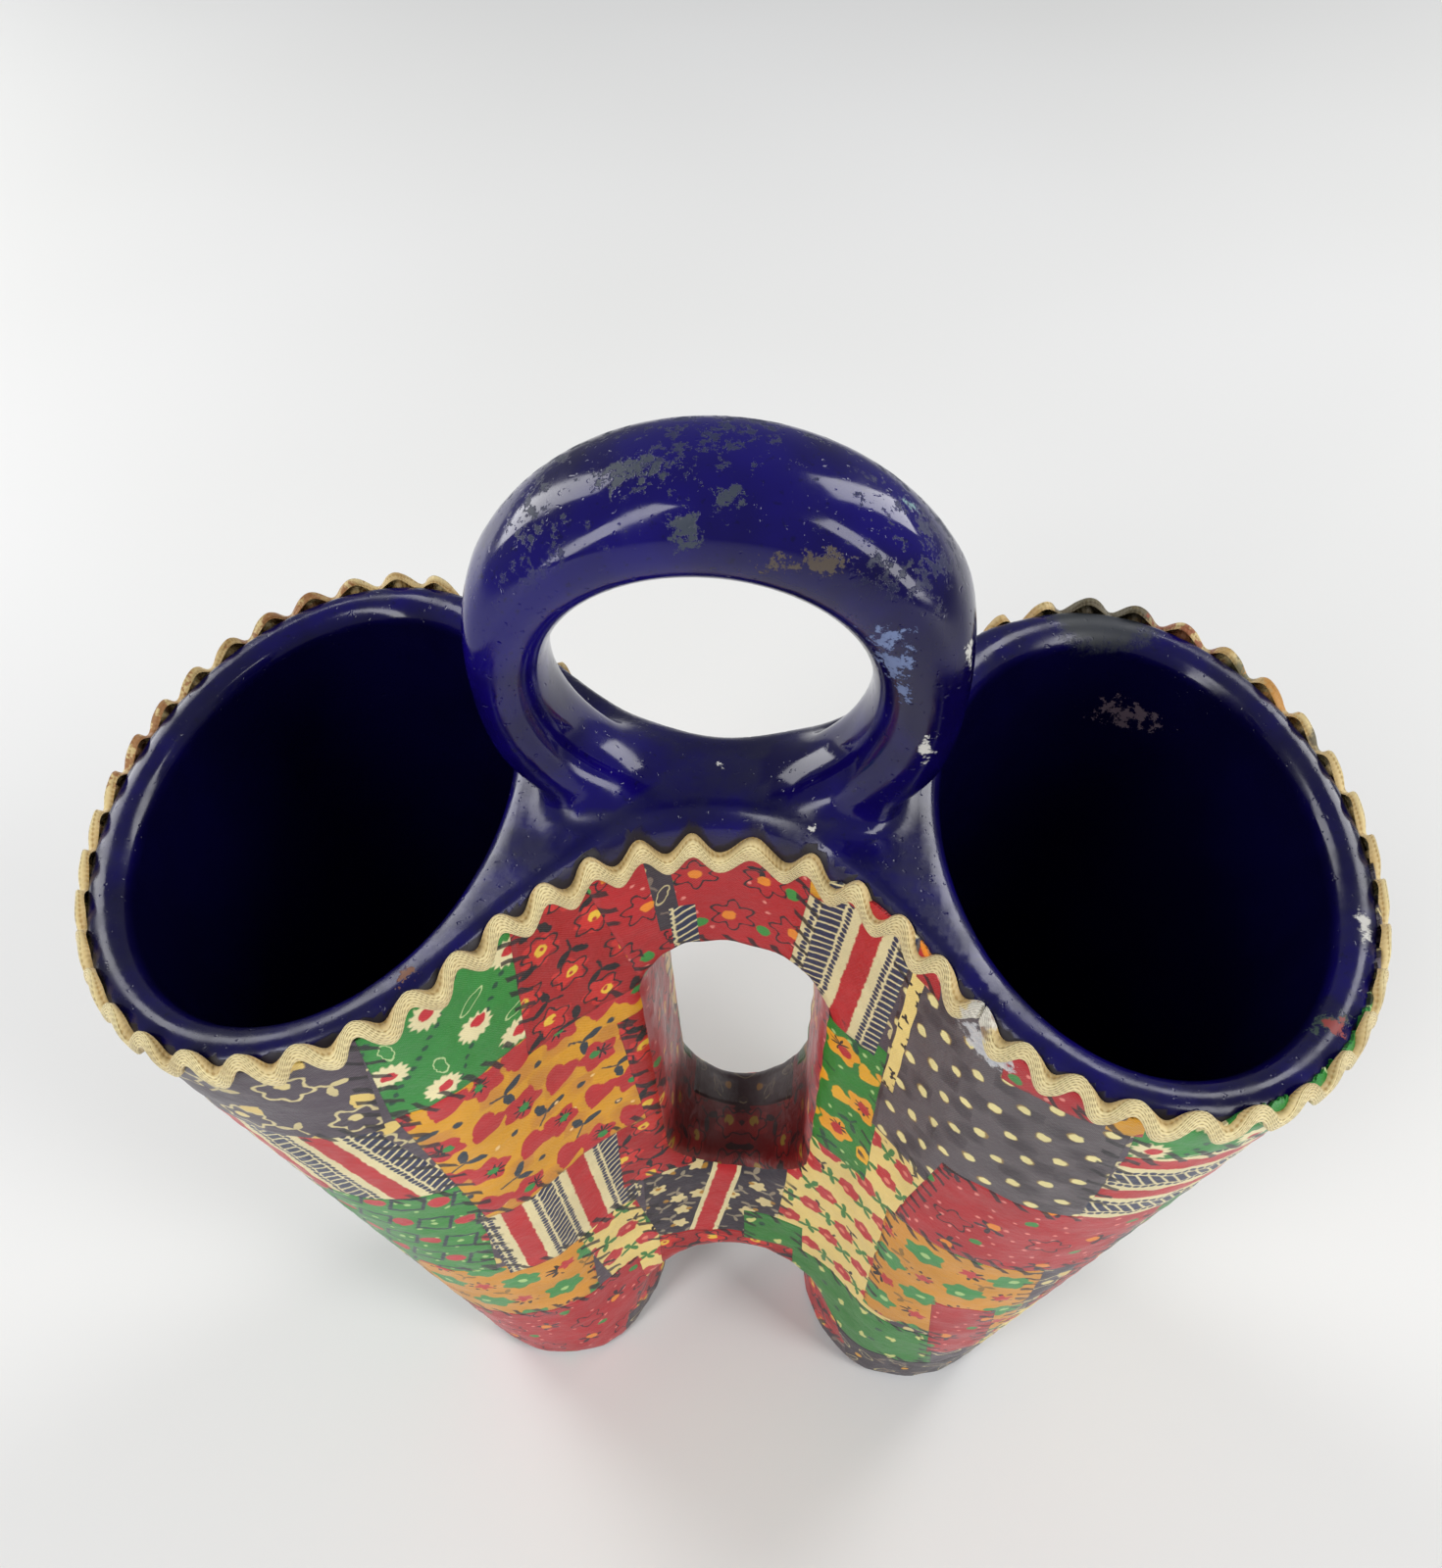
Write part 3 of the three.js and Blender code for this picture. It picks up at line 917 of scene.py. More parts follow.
class NodeBoard:
    """Lays out the nodes of one material, ending in its shader."""

    def __init__(self, name: str) -> None:
        """Starts an empty material with a Principled shader.

        Args:
            name: The material's name.
        """
        self.material = bpy.data.materials.new(name)
        self.material.use_nodes = True
        self.tree = self.material.node_tree
        self.tree.nodes.clear()
        self.shader = self.tree.nodes.new("ShaderNodeBsdfPrincipled")
        output = self.tree.nodes.new("ShaderNodeOutputMaterial")
        self.tree.links.new(self.shader.outputs["BSDF"], output.inputs["Surface"])

    def feed(self, socket: bpy.types.NodeSocket, value: Feed) -> None:
        """Links an input to a wire, or sets its own number, colour or vector.

        Args:
            socket: The input.
            value: What it takes.
        """
        if isinstance(value, Wire):
            self.tree.links.new(value.socket, socket)
        elif isinstance(value, (int, float)):
            socket.default_value = value
        else:
            room = len(socket.default_value)
            socket.default_value = (tuple(value) + (1.0,))[:room]

    def node(self, kind: str, output: Key, feeds: dict[Key, Feed], **settings: str) -> Wire:
        """Adds a node.

        Args:
            kind: The node's type, without the words that all types begin with.
            output: The place or name of the output to read.
            feeds: What its inputs take, by place or name.
            **settings: The node's own settings.

        Returns:
            The output.
        """
        node = self.tree.nodes.new("ShaderNode" + kind)
        for name, setting in settings.items():
            setattr(node, name, setting)
        for key, value in feeds.items():
            self.feed(node.inputs[key], value)
        return Wire(self, node.outputs[output])

    def place(self) -> Wire:
        """The place on the object, in metres."""
        return self.node("TexCoord", "Object", {})

    def across(self, name: str) -> Wire:
        """The flat coordinates of a named map."""
        return self.node("UVMap", "UV", {}, uv_map=name)

    def value(self, name: str) -> Wire:
        """A number that the mesh holds for each point."""
        return self.node("Attribute", "Fac", {}, attribute_name=name)

    def bump(self, height: Wire, distance: float, strength: float) -> None:
        """Gives the shader a bump, whose height of 1 stands proud by the distance in metres."""
        feeds = {"Height": height, "Distance": distance, "Strength": strength}
        self.set(Normal=self.node("Bump", "Normal", feeds))

    def set(self, **sockets: Feed) -> None:
        """Fills the shader's sockets, named with underscores for spaces."""
        for name, value in sockets.items():
            self.feed(self.shader.inputs[name.replace("_", " ")], value)


class Shape(Enum):
    """The outlines that a printed motif can have."""

    DISC = auto()
    PETALS = auto()
    HEART = auto()
    LEAF = auto()
    SPRIG = auto()
    SQUARE = auto()
    BAR = auto()


@dataclass(frozen=True)
class Motif:
    """One printed layer: a shape repeated over the cloth. Sizes are in millimetres.

    Attributes:
        shape: The outline.
        colour: The ink.
        size: The shape's half size, or a bar's half width.
        pitch: The breadth and height of a cell.
        stagger: How far every other row moves, as a share of the breadth.
        jitter: How far a motif strays, as a share of its cell.
        spin: How much a motif turns at random, from 0 to 1.
        turn: The direction of the rows, in degrees.
        shift: A move of all the cells.
        petals: How many petals a flower has.
        depth: How deep its petals are cut, from 0 to 1.
        line: The width of the drawn outline, or 0 for a filled shape.
        share: The share of the cells that hold the motif.
        softness: How wide its edge blurs.
    """

    shape: Shape
    colour: Colour
    size: float
    pitch: tuple[float, float]
    stagger: float = 0.5
    jitter: float = 0.12
    spin: float = 1.0
    turn: float = 0.0
    shift: tuple[float, float] = (0.0, 0.0)
    petals: int = 5
    depth: float = 0.35
    line: float = 0.0
    share: float = 1.0
    softness: float = 0.16

    def mask(self, flat: Wire) -> Wire:
        """Where the ink lies.

        Args:
            flat: The cloth's flat coordinates, in millimetres.

        Returns:
            The ink's cover, from 0 to 1.
        """
        feeds = {"Vector": flat, "Angle": math.radians(self.turn)}
        x, y, _ = flat.board.node("VectorRotate", 0, feeds, rotation_type="Z_AXIS").parts()
        x = x + self.shift[0]
        y = y + self.shift[1]
        if self.shape is Shape.BAR:
            share = x.math("WRAP", self.pitch[0] / 2, -self.pitch[0] / 2)
            distance = abs(share) - self.size
            return distance.fade(self.softness, -self.softness)
        row = (y / self.pitch[1]).math("FLOOR")
        odd = row.math("WRAP", 2.0, 0.0)
        x = odd * (self.stagger * self.pitch[0]) + x
        column = (x / self.pitch[0]).math("FLOOR")
        first, second, third = column.joined(row, self.size).chance()
        x = self._local(x, column, first, self.pitch[0])
        y = self._local(y, row, second, self.pitch[1])
        distance = self._distance(x, y, third)
        if self.line > 0:
            distance = abs(distance) - self.line / 2
        cover = distance.fade(self.softness, -self.softness)
        if self.share < 1:
            drawn, _, _ = row.joined(column, 7.5).chance()
            cover = cover * drawn.math("LESS_THAN", self.share)
        return cover

    def _local(self, place: Wire, cell: Wire, stray: Wire, pitch: float) -> Wire:
        """The place within a cell, measured from its strayed middle.

        Args:
            place: Places along one axis.
            cell: The cell's number.
            stray: A chance from 0 to 1.
            pitch: The cell's size.

        Returns:
            The place in millimetres.
        """
        offset = cell * -pitch + place
        moved = stray * (self.jitter * pitch) + offset
        return moved - pitch * (0.5 + self.jitter / 2)

    def _distance(self, x: Wire, y: Wire, chance: Wire) -> Wire:
        """The distance to the shape's outline, negative inside.

        Args:
            x: Places from the shape's middle.
            y: The same, upward.
            chance: A chance from 0 to 1 that turns it.

        Returns:
            The distance in millimetres.
        """
        turn = chance * (2 * math.pi * self.spin)
        radius = (x * x + y * y).math("SQRT")
        if self.shape is Shape.DISC:
            return radius - self.size
        angle = y.math("ARCTAN2", x) + turn
        if self.shape is Shape.PETALS:
            wave = (angle * float(self.petals)).math("COSINE")
            reach = wave * (self.depth * self.size) + self.size * (1 - self.depth)
            return radius - reach
        across = radius * angle.math("COSINE")
        along = radius * angle.math("SINE")
        if self.shape is Shape.SQUARE:
            side = abs(across)
            return side.most(abs(along)) - self.size
        if self.shape is Shape.LEAF:
            narrow = across * 2.6
            square = narrow * narrow + along * along
            return square.math("SQRT") - self.size
        if self.shape is Shape.SPRIG:
            return self._sprig(across, along)
        side = abs(across)
        sunk = side * -0.75 + along
        square = sunk * sunk + side * side
        return square.math("SQRT") - self.size

    def _sprig(self, across: Wire, along: Wire) -> Wire:
        """The distance to a pair of leaves on a short stem.

        Args:
            across: Places across the stem.
            along: Places along it.

        Returns:
            The distance in millimetres.
        """
        side = abs(across)
        out = along * 0.64 + side * 0.77
        off = along * 0.77 + side * -0.64
        out = out - self.size * 0.62
        off = off * 2.3
        square = out * out + off * off
        leaf = square.math("SQRT") - self.size * 0.55
        reach = abs(along + self.size * 0.35)
        stem = (side - 0.22).most(reach - self.size * 0.55)
        return leaf.math("MINIMUM", stem)


RED = linear(190, 34, 40)
GREEN = linear(48, 140, 66)
DARK_GREEN = linear(20, 74, 52)
MUSTARD = linear(222, 158, 28)
ORANGE = linear(238, 140, 34)
YELLOW = linear(240, 196, 60)
PINK = linear(236, 140, 128)
SLATE = linear(46, 58, 68)
CHARCOAL = linear(78, 68, 78)
INK = linear(28, 24, 30)
NAVY = linear(38, 46, 78)
PALE_GREEN = linear(176, 210, 132)


disc, petals, heart, leaf, sprig, square, bar = (partial(Motif, shape) for shape in Shape)


def flower(
    count: int, colour: Colour, middle: Colour, size: float, pitch: tuple[float, float], **more: float
) -> tuple[Motif, ...]:
    """A petalled flower with dark stamens and a round middle, as three layers.

    Args:
        count: How many petals it has.
        colour: The petals' ink.
        middle: The ink of its round middle.
        size: The flower's half size in millimetres.
        pitch: The cell's breadth and height.
        **more: Other fields that the layers share.

    Returns:
        The three motifs.
    """
    blossom = petals(colour, size, pitch, petals=count, depth=0.14, **more)
    stamens = petals(INK, size * 0.5, pitch, petals=8, depth=0.42, **more)
    return blossom, stamens, disc(middle, size * 0.25, pitch, **more)


def twill(turn: float, pitch: float = 13.0) -> tuple[Motif, ...]:
    """Woven stripes: a slashed navy band, bead lines and a red band on cream.

    Args:
        turn: The stripes' direction in degrees.
        pitch: The breadth of one repeat in millimetres.

    Returns:
        The motifs, from the ground up.
    """
    cream = linear(230, 216, 166)
    beads = {"stagger": 0.0, "jitter": 0.0, "turn": turn, "softness": 0.12}
    return (
        bar(NAVY, 0.55, (1.45, 1.0), turn=turn + 58, softness=0.12),
        bar(cream, pitch / 2 - 1.75, (pitch, 1.0), turn=turn),
        disc(NAVY, 0.5, (pitch, 1.15), shift=(pitch / 2 - 3.9, 0.0), **beads),
        disc(NAVY, 0.5, (pitch, 1.15), shift=(pitch / 2 + 3.9, 0.6), **beads),
        bar(RED, 1.85, (pitch, 1.0), turn=turn),
    )


class Calico:
    """A printed cotton: its ground, and its layers of ink from the ground up."""

    def __init__(self, ground: Colour, *layers: Motif) -> None:
        """Keeps the ground and the layers."""
        self.ground, self.layers = ground, layers


class Print(Enum):
    """The printed cottons that the patchwork is made of."""

    CHARCOAL_FLORAL = Calico(
        CHARCOAL,
        sprig(linear(206, 190, 138), 2.6, (15.0, 12.5), shift=(9.0, 2.0)),
        heart(linear(228, 198, 112), 1.75, (15.0, 12.5), shift=(5.6, 7.0), jitter=0.2),
        petals(linear(214, 198, 146), 3.9, (15.0, 12.5), line=0.6, depth=0.14, petals=6),
        disc(linear(226, 206, 142), 1.05, (15.0, 12.5)),
    )
    CHARCOAL_DOTS = Calico(
        linear(92, 84, 88),
        disc(linear(66, 58, 64), 2.2, (5.0, 4.5), jitter=0.5, softness=1.4, share=0.6),
        disc(linear(150, 122, 70), 1.05, (7.05, 4.5), jitter=0.05, turn=8),
        disc(linear(240, 226, 158), 0.93, (7.05, 4.5), jitter=0.05, turn=8),
    )
    GREEN_DAISIES = Calico(
        linear(46, 138, 56),
        disc(DARK_GREEN, 0.5, (9.4, 2.0), stagger=0.0, jitter=0.05, turn=32),
        leaf(linear(190, 214, 150), 2.3, (13.0, 9.4), shift=(6.2, 3.6), line=0.42),
        petals(linear(240, 228, 178), 2.9, (13.0, 9.4), petals=13, depth=0.1, softness=0.3),
        disc(linear(204, 36, 48), 1.15, (13.0, 9.4)),
    )
    GREEN_SQUARES = Calico(
        linear(60, 140, 62),
        disc(PALE_GREEN, 0.38, (4.8, 4.6), jitter=0.2),
        square(SLATE, 2.5, (9.6, 9.2), jitter=0.0, spin=0.0, turn=10, line=0.65),
        disc(PALE_GREEN, 0.55, (9.6, 9.2), jitter=0.0, turn=10),
        disc(linear(198, 52, 60), 1.75, (9.6, 9.2), jitter=0.06, turn=10, shift=(4.8, 0.0)),
    )
    GREEN_DOTS = Calico(
        linear(50, 128, 52),
        disc(DARK_GREEN, 0.7, (8.0, 7.0), shift=(3.0, 2.0), jitter=0.4, share=0.6),
        leaf(linear(212, 212, 128), 1.3, (11.6, 6.0), spin=0.1),
        disc(linear(212, 212, 128), 0.75, (11.6, 6.0)),
    )
    GREEN_ORANGE_FLOWERS = Calico(
        linear(42, 130, 46),
        sprig(DARK_GREEN, 2.4, (11.0, 12.4), shift=(3.0, 7.4)),
        disc(PALE_GREEN, 0.42, (3.1, 2.9), jitter=0.4, share=0.3),
        heart(linear(240, 178, 34), 2.1, (11.0, 12.4), shift=(5.6, 2.0), spin=0.1),
        *flower(5, linear(240, 166, 32), RED, 3.7, (11.0, 12.4)),
        disc(RED, 1.25, (11.0, 12.4)),
    )
    RED_OUTLINED_FLOWERS = Calico(
        linear(184, 32, 38),
        disc(PINK, 0.34, (10.6, 2.2), stagger=0.0, jitter=0.1, turn=-34, share=0.55),
        sprig(INK, 2.0, (9.8, 10.6), shift=(5.0, 8.0), share=0.6),
        disc(linear(60, 148, 62), 1.15, (9.8, 10.6), shift=(4.8, 1.6), share=0.8),
        petals(INK, 3.6, (9.8, 10.6), line=0.44, depth=0.2, petals=6),
        disc(ORANGE, 1.05, (9.8, 10.6)),
    )
    RED_POPPIES = Calico(
        linear(168, 26, 30),
        sprig(INK, 3.0, (9.0, 9.0), shift=(4.6, 3.6)),
        petals(linear(206, 44, 40), 3.4, (9.0, 9.0), depth=0.18),
        petals(INK, 3.3, (9.0, 9.0), line=0.44, depth=0.18),
        disc(YELLOW, 1.05, (9.0, 9.0)),
        disc(RED, 0.4, (9.0, 9.0)),
    )
    RED_DOTS = Calico(
        linear(180, 36, 44),
        disc(PINK, 0.36, (5.2, 2.4), stagger=0.3, jitter=0.3, turn=20, share=0.55),
        petals(linear(58, 34, 44), 2.5, (15.0, 13.5), depth=0.4),
        disc(ORANGE, 1.1, (15.0, 13.5)),
        petals(INK, 3.4, (15.0, 13.5), shift=(7.4, 3.0), line=0.4, depth=0.2, share=0.7),
        disc(linear(64, 142, 66), 1.0, (15.0, 13.5), shift=(3.4, 7.4)),
    )
    STRIPES = Calico(linear(230, 216, 166), *twill(0.0))
    CREAM_BLOTS = Calico(
        linear(240, 214, 132),
        petals(INK, 0.9, (3.4, 2.6), jitter=0.7, petals=3, share=0.8),
    )
    DARK_SPRAYS = Calico(
        linear(52, 46, 56),
        sprig(linear(150, 138, 116), 1.8, (6.2, 5.6), shift=(3.0, 3.0), jitter=0.3),
        petals(linear(222, 204, 148), 1.8, (6.2, 5.6), jitter=0.4, depth=0.15, share=0.85),
        disc(linear(176, 128, 44), 0.55, (6.2, 5.6), jitter=0.4, share=0.85),
    )
    MUSTARD_HEARTS = Calico(
        MUSTARD,
        disc(linear(206, 138, 44), 2.6, (6.0, 5.0), jitter=0.5, softness=1.6, share=0.5),
        sprig(SLATE, 3.3, (14.0, 12.5), shift=(3.4, 6.4), spin=0.35),
        disc(SLATE, 0.75, (14.0, 12.5), shift=(10.4, 6.0), jitter=0.2),
        disc(linear(246, 206, 140), 0.4, (2.4, 6.2), jitter=0.4, share=0.16),
        heart(linear(190, 40, 46), 3.1, (14.0, 12.5), spin=0.12),
        *flower(5, linear(192, 40, 46), GREEN, 3.9, (14.0, 12.5), shift=(7.0, 0.0)),
    )
    MUSTARD_GREEN_FLOWERS = Calico(
        linear(216, 148, 44),
        sprig(linear(150, 110, 40), 2.0, (14.4, 10.2), shift=(3.6, 5.0), share=0.6),
        petals(linear(62, 146, 74), 3.9, (14.4, 10.2), petals=6, depth=0.12),
        disc(PALE_GREEN, 0.85, (14.4, 10.2)),
        petals(INK, 2.7, (14.4, 10.2), shift=(7.2, 0.0), petals=8, depth=0.3),
        disc(linear(216, 148, 44), 1.95, (14.4, 10.2), shift=(7.2, 0.0)),
        petals(linear(198, 52, 56), 1.8, (14.4, 10.2), shift=(7.2, 0.0), depth=0.2),
    )
    CREAM_FLOWERS = Calico(
        linear(238, 212, 130),
        sprig(INK, 1.5, (8.0, 8.6), shift=(2.2, 6.6), share=0.5),
        petals(linear(62, 130, 60), 2.6, (8.0, 8.6), shift=(4.0, 0.5), petals=4, depth=0.4),
        petals(linear(194, 44, 50), 2.5, (8.0, 8.6), petals=6, depth=0.08),
        disc(linear(230, 130, 108), 0.65, (8.0, 8.6)),
    )
    DARK_LEAVES = Calico(
        linear(60, 52, 60),
        leaf(linear(196, 182, 136), 2.1, (6.4, 6.6), line=0.45, jitter=0.3),
        sprig(linear(124, 108, 96), 2.0, (6.8, 7.0), shift=(3.0, 3.4), jitter=0.3),
        disc(MUSTARD, 0.75, (9.0, 8.0), shift=(2.0, 5.0), share=0.5),
    )


@dataclass(frozen=True)
class PrintedCotton:
    """A varnished calico with one print, and whip stitches printed along its border."""

    kind: Print
    thread_pitch: float = 0.43
    stitch_pitch: float = 3.8
    stitch_half_width: float = 0.55
    stitch_reach: float = 2.9
    stitch_lean: float = 0.6
    roughness: float = 0.36
    varnish: float = 0.15

    def build(self) -> bpy.types.Material:
        """Makes the material.

        Returns:
            The finished material.
        """
        board = NodeBoard("cotton_" + self.kind.name.lower())
        flat = board.across("cloth").shade(1000.0)
        wobble = flat.noise(0.9, 1.0)
        stray = wobble * 0.7 - 0.35
        moved = board.node("VectorMath", 0, {0: flat, 1: stray.joined(stray)})
        colour: Feed = self.kind.value.ground
        for motif in self.kind.value.layers:
            colour = motif.mask(moved).mix(colour, motif.colour)
        stitch = self._stitches(board)
        colour = (stitch * 0.9).mix(colour, INK)
        weave = self._weave(flat)
        # The weave lightens raised threads and darkens sunk ones: painted shade and highlight, over the
        # yarn's own uneven tone.
        colour = colour.shade(weave.fade(0.0, 1.0, 0.9, 1.1))
        age = board.place().noise(90.0, 3.0, 0.6)
        colour = colour.shade(age.fade(0.3, 0.75, 0.9, 1.06))
        stain = board.place().noise(34.0, 4.0, 0.7).fade(0.62, 0.85)
        colour = (stain * 0.22).mix(colour, linear(110, 74, 36))
        colour = self._hazed(board, colour)
        border = board.across("border")
        side, level, _ = border.parts()
        edge = side.math("MINIMUM", level) * 1000.0
        frayed = flat.noise(2.4, 2.0) * 0.5 + edge
        shadow = frayed.fade(0.16, 0.46, 0.5, 1.0)
        colour = colour.shade(shadow)
        colour = self._peeled(board, colour)
        board.set(Base_Color=colour, Specular_IOR_Level=0.26, Coat_Weight=self.varnish)
        board.set(Coat_Roughness=0.3)
        patchy = board.place().noise(160.0, 2.0)
        board.set(Roughness=patchy.fade(0.3, 0.7, self.roughness - 0.08, self.roughness + 0.1))
        swell = flat.noise(0.22, 3.0, 0.55) * 1.4
        height = weave * 0.16 + swell
        height = height + edge.fade(0.0, 0.8, 0.0, 0.55)
        board.bump(height, 0.0006, 0.7)
        return board.material

    def _hazed(self, board: NodeBoard, colour: Feed) -> Wire:
        """Lays streaks of dried paste on the linings, and painted shade in their depth.

        Args:
            board: The material's nodes.
            colour: The colour so far.

        Returns:
            The new colour.
        """
        x, y, z = board.place().parts()
        streak = x.joined(y * 0.5, z * 0.22)
        paste = streak.noise(420.0, 3.0, 0.6).fade(0.4, 0.66, 0.25, 1.0)
        paste = paste * board.value("haze") * 0.62
        colour = paste.mix(colour, linear(176, 148, 150))
        # Painted shade: the linings darken toward a dark red in the depth of the window and the arch.
        return board.value("soot").mix(colour, linear(38, 16, 16))

    def _peeled(self, board: NodeBoard, colour: Wire) -> Wire:
        """Leaves a film of white paste where the cloth has come off.

        Args:
            board: The material's nodes.
            colour: The colour so far.

        Returns:
            The new colour.
        """
        ragged = board.place().noise(520.0, 4.0, 0.7)
        film = ragged * 1.1 + board.value("peel")
        tone = board.place().noise(800.0, 2.0).mix(linear(150, 164, 186), linear(232, 226, 216))
        return film.fade(0.98, 1.12, 0.0, 0.92).mix(colour, tone)

    def _weave(self, flat: Wire) -> Wire:
        """The threads, over and under, from 0 to 1.

        Args:
            flat: The cloth's flat coordinates.

        Returns:
            How high the threads stand.
        """
        x, y, _ = flat.parts()
        turn = 2 * math.pi / self.thread_pitch
        warp = (x * turn).math("SINE")
        weft = (y * turn).math("SINE")
        slub = flat.noise(3.0, 1.0)
        crossed = warp * weft * 0.3 + 0.5
        return (slub - 0.5) * 0.5 + crossed

    def _stitches(self, board: NodeBoard) -> Wire:
        """The black whip stitches that cross the patch's border.

        Args:
            board: The material's nodes.

        Returns:
            Their cover, from 0 to 1.
        """
        x, y, _ = board.across("seam").shade(1000.0).parts()
        side, level, _ = board.across("border").shade(1000.0).parts()
        masks = []
        for along, cross, gap in ((y, x, side), (x, y, level)):
            leaned = cross * self.stitch_lean + along
            jitter = leaned.joined(gap, 0.0).noise(0.4, 0.0)
            leaned = jitter * 1.2 + leaned
            place = leaned.math("WRAP", self.stitch_pitch / 2, -self.stitch_pitch / 2)
            line = abs(place) - self.stitch_half_width
            reach = jitter * 0.9 + (gap - self.stitch_reach)
            masks.append(line.most(reach).fade(0.14, -0.14))
        sewn = x.joined(y, 0.0).noise(0.055, 0.0)
        sewn = sewn.fade(0.4, 0.44)
        return sewn * masks[0].most(masks[1])


@dataclass(frozen=True)
class Mark:
    """A chip, scuff or stain at one place. Sizes are in millimetres."""

    place: tuple[float, float, float]
    radius: float
    colour: Colour
    stretch: tuple[float, float, float] = (1.0, 1.0, 1.0)
    ragged: float = 4.6

    def cover(self, place: Wire, rough: Wire) -> Wire:
        """Where the mark lies, with a ragged edge.

        Args:
            place: The place on the object.
            rough: A fine noise.

        Returns:
            The mark's cover, from 0 to 0.85.
        """
        feeds = {
            "Vector": place,
            "Location": [value * MILLIMETRE for value in self.place],
            "Scale": [self.radius * value * MILLIMETRE for value in self.stretch],
        }
        offset = place.board.node("Mapping", 0, feeds, vector_type="TEXTURE")
        length = place.board.node("VectorMath", "Value", {0: offset}, operation="LENGTH")
        ragged = rough * self.ragged + length
        middle = self.ragged / 2
        return ragged.fade(middle + 0.8, middle + 0.4) * 0.85


PALE_CHIP = linear(214, 212, 204)
SCUFF = linear(112, 128, 168)
VERDIGRIS = linear(58, 66, 72)
BROWN = linear(24, 15, 13)
CHARRED = linear(52, 56, 54)
TOASTED = linear(150, 92, 40)

GLAZE_MARKS = (
    Mark((30.5, -6.7, 195.1), 2.0, PALE_CHIP, (0.5, 0.6, 1.5)),
    Mark((26.5, -8.4, 180.1), 2.1, PALE_CHIP, (0.5, 0.6, 1.4)),
    Mark((20.3, -9.6, 200.6), 2.6, SCUFF, (1.2, 0.6, 0.7)),
    Mark((21.2, -8.9, 195.6), 3.0, SCUFF, (1.0, 0.8, 1.2)),
    Mark((22.6, -8.4, 191.0), 2.2, SCUFF, (0.8, 0.8, 1.0)),
    Mark((22.3, 1.0, 211.4), 2.6, linear(120, 160, 160), (1.9, 0.35, 0.4)),
    Mark((-2.4, -9.6, 215.6), 2.2, VERDIGRIS, (0.9, 0.8, 1.3)),
    Mark((2.2, -6.9, 218.3), 1.8, VERDIGRIS),
    Mark((-8.8, -3.5, 218.5), 3.4, VERDIGRIS, (1.7, 0.7, 0.7)),
    Mark((12.1, -9.9, 211.7), 3.4, linear(84, 74, 60), (1.7, 0.6, 0.5)),
    Mark((88.6, -11.2, 151.4), 2.2, PALE_CHIP, (0.7, 1.5, 1.0), 2.6),
    Mark((80.2, -27.3, 152.4), 3.0, linear(60, 78, 66), (1.4, 0.7, 0.7)),
    Mark((81.2, -27.9, 151.6), 1.8, linear(150, 56, 54)),
    Mark((56.5, 42.0, 156.5), 15.0, CHARRED, (1.0, 0.6, 0.5), 0.7),
    Mark((62.7, 35.2, 141.6), 4.4, linear(104, 88, 98), (1.4, 0.8, 0.6)),
    Mark((-0.3, 0.8, 164.9), 0.7, PALE_CHIP),
    Mark((12.9, -9.2, 164.2), 0.8, PALE_CHIP),
    Mark((-38.6, -32.3, 159.4), 1.6, linear(120, 72, 34)),
)

BRAID_STAINS = (
    Mark((57.0, 45.0, 155.0), 15.0, linear(44, 46, 38), (1.0, 0.7, 0.7), 1.0),
    Mark((70.0, 42.5, 152.5), 7.0, linear(150, 70, 36)),
    Mark((78.5, 36.5, 151.5), 4.0, linear(70, 74, 48), ragged=1.0),
    Mark((84.0, 31.0, 150.5), 6.0, linear(196, 136, 56)),
    Mark((88.5, 24.5, 150.0), 4.0, linear(44, 46, 38), ragged=1.0),
    Mark((-90.0, 12.0, 150.0), 12.0, TOASTED),
    Mark((-72.0, 40.0, 152.0), 12.0, TOASTED),
)


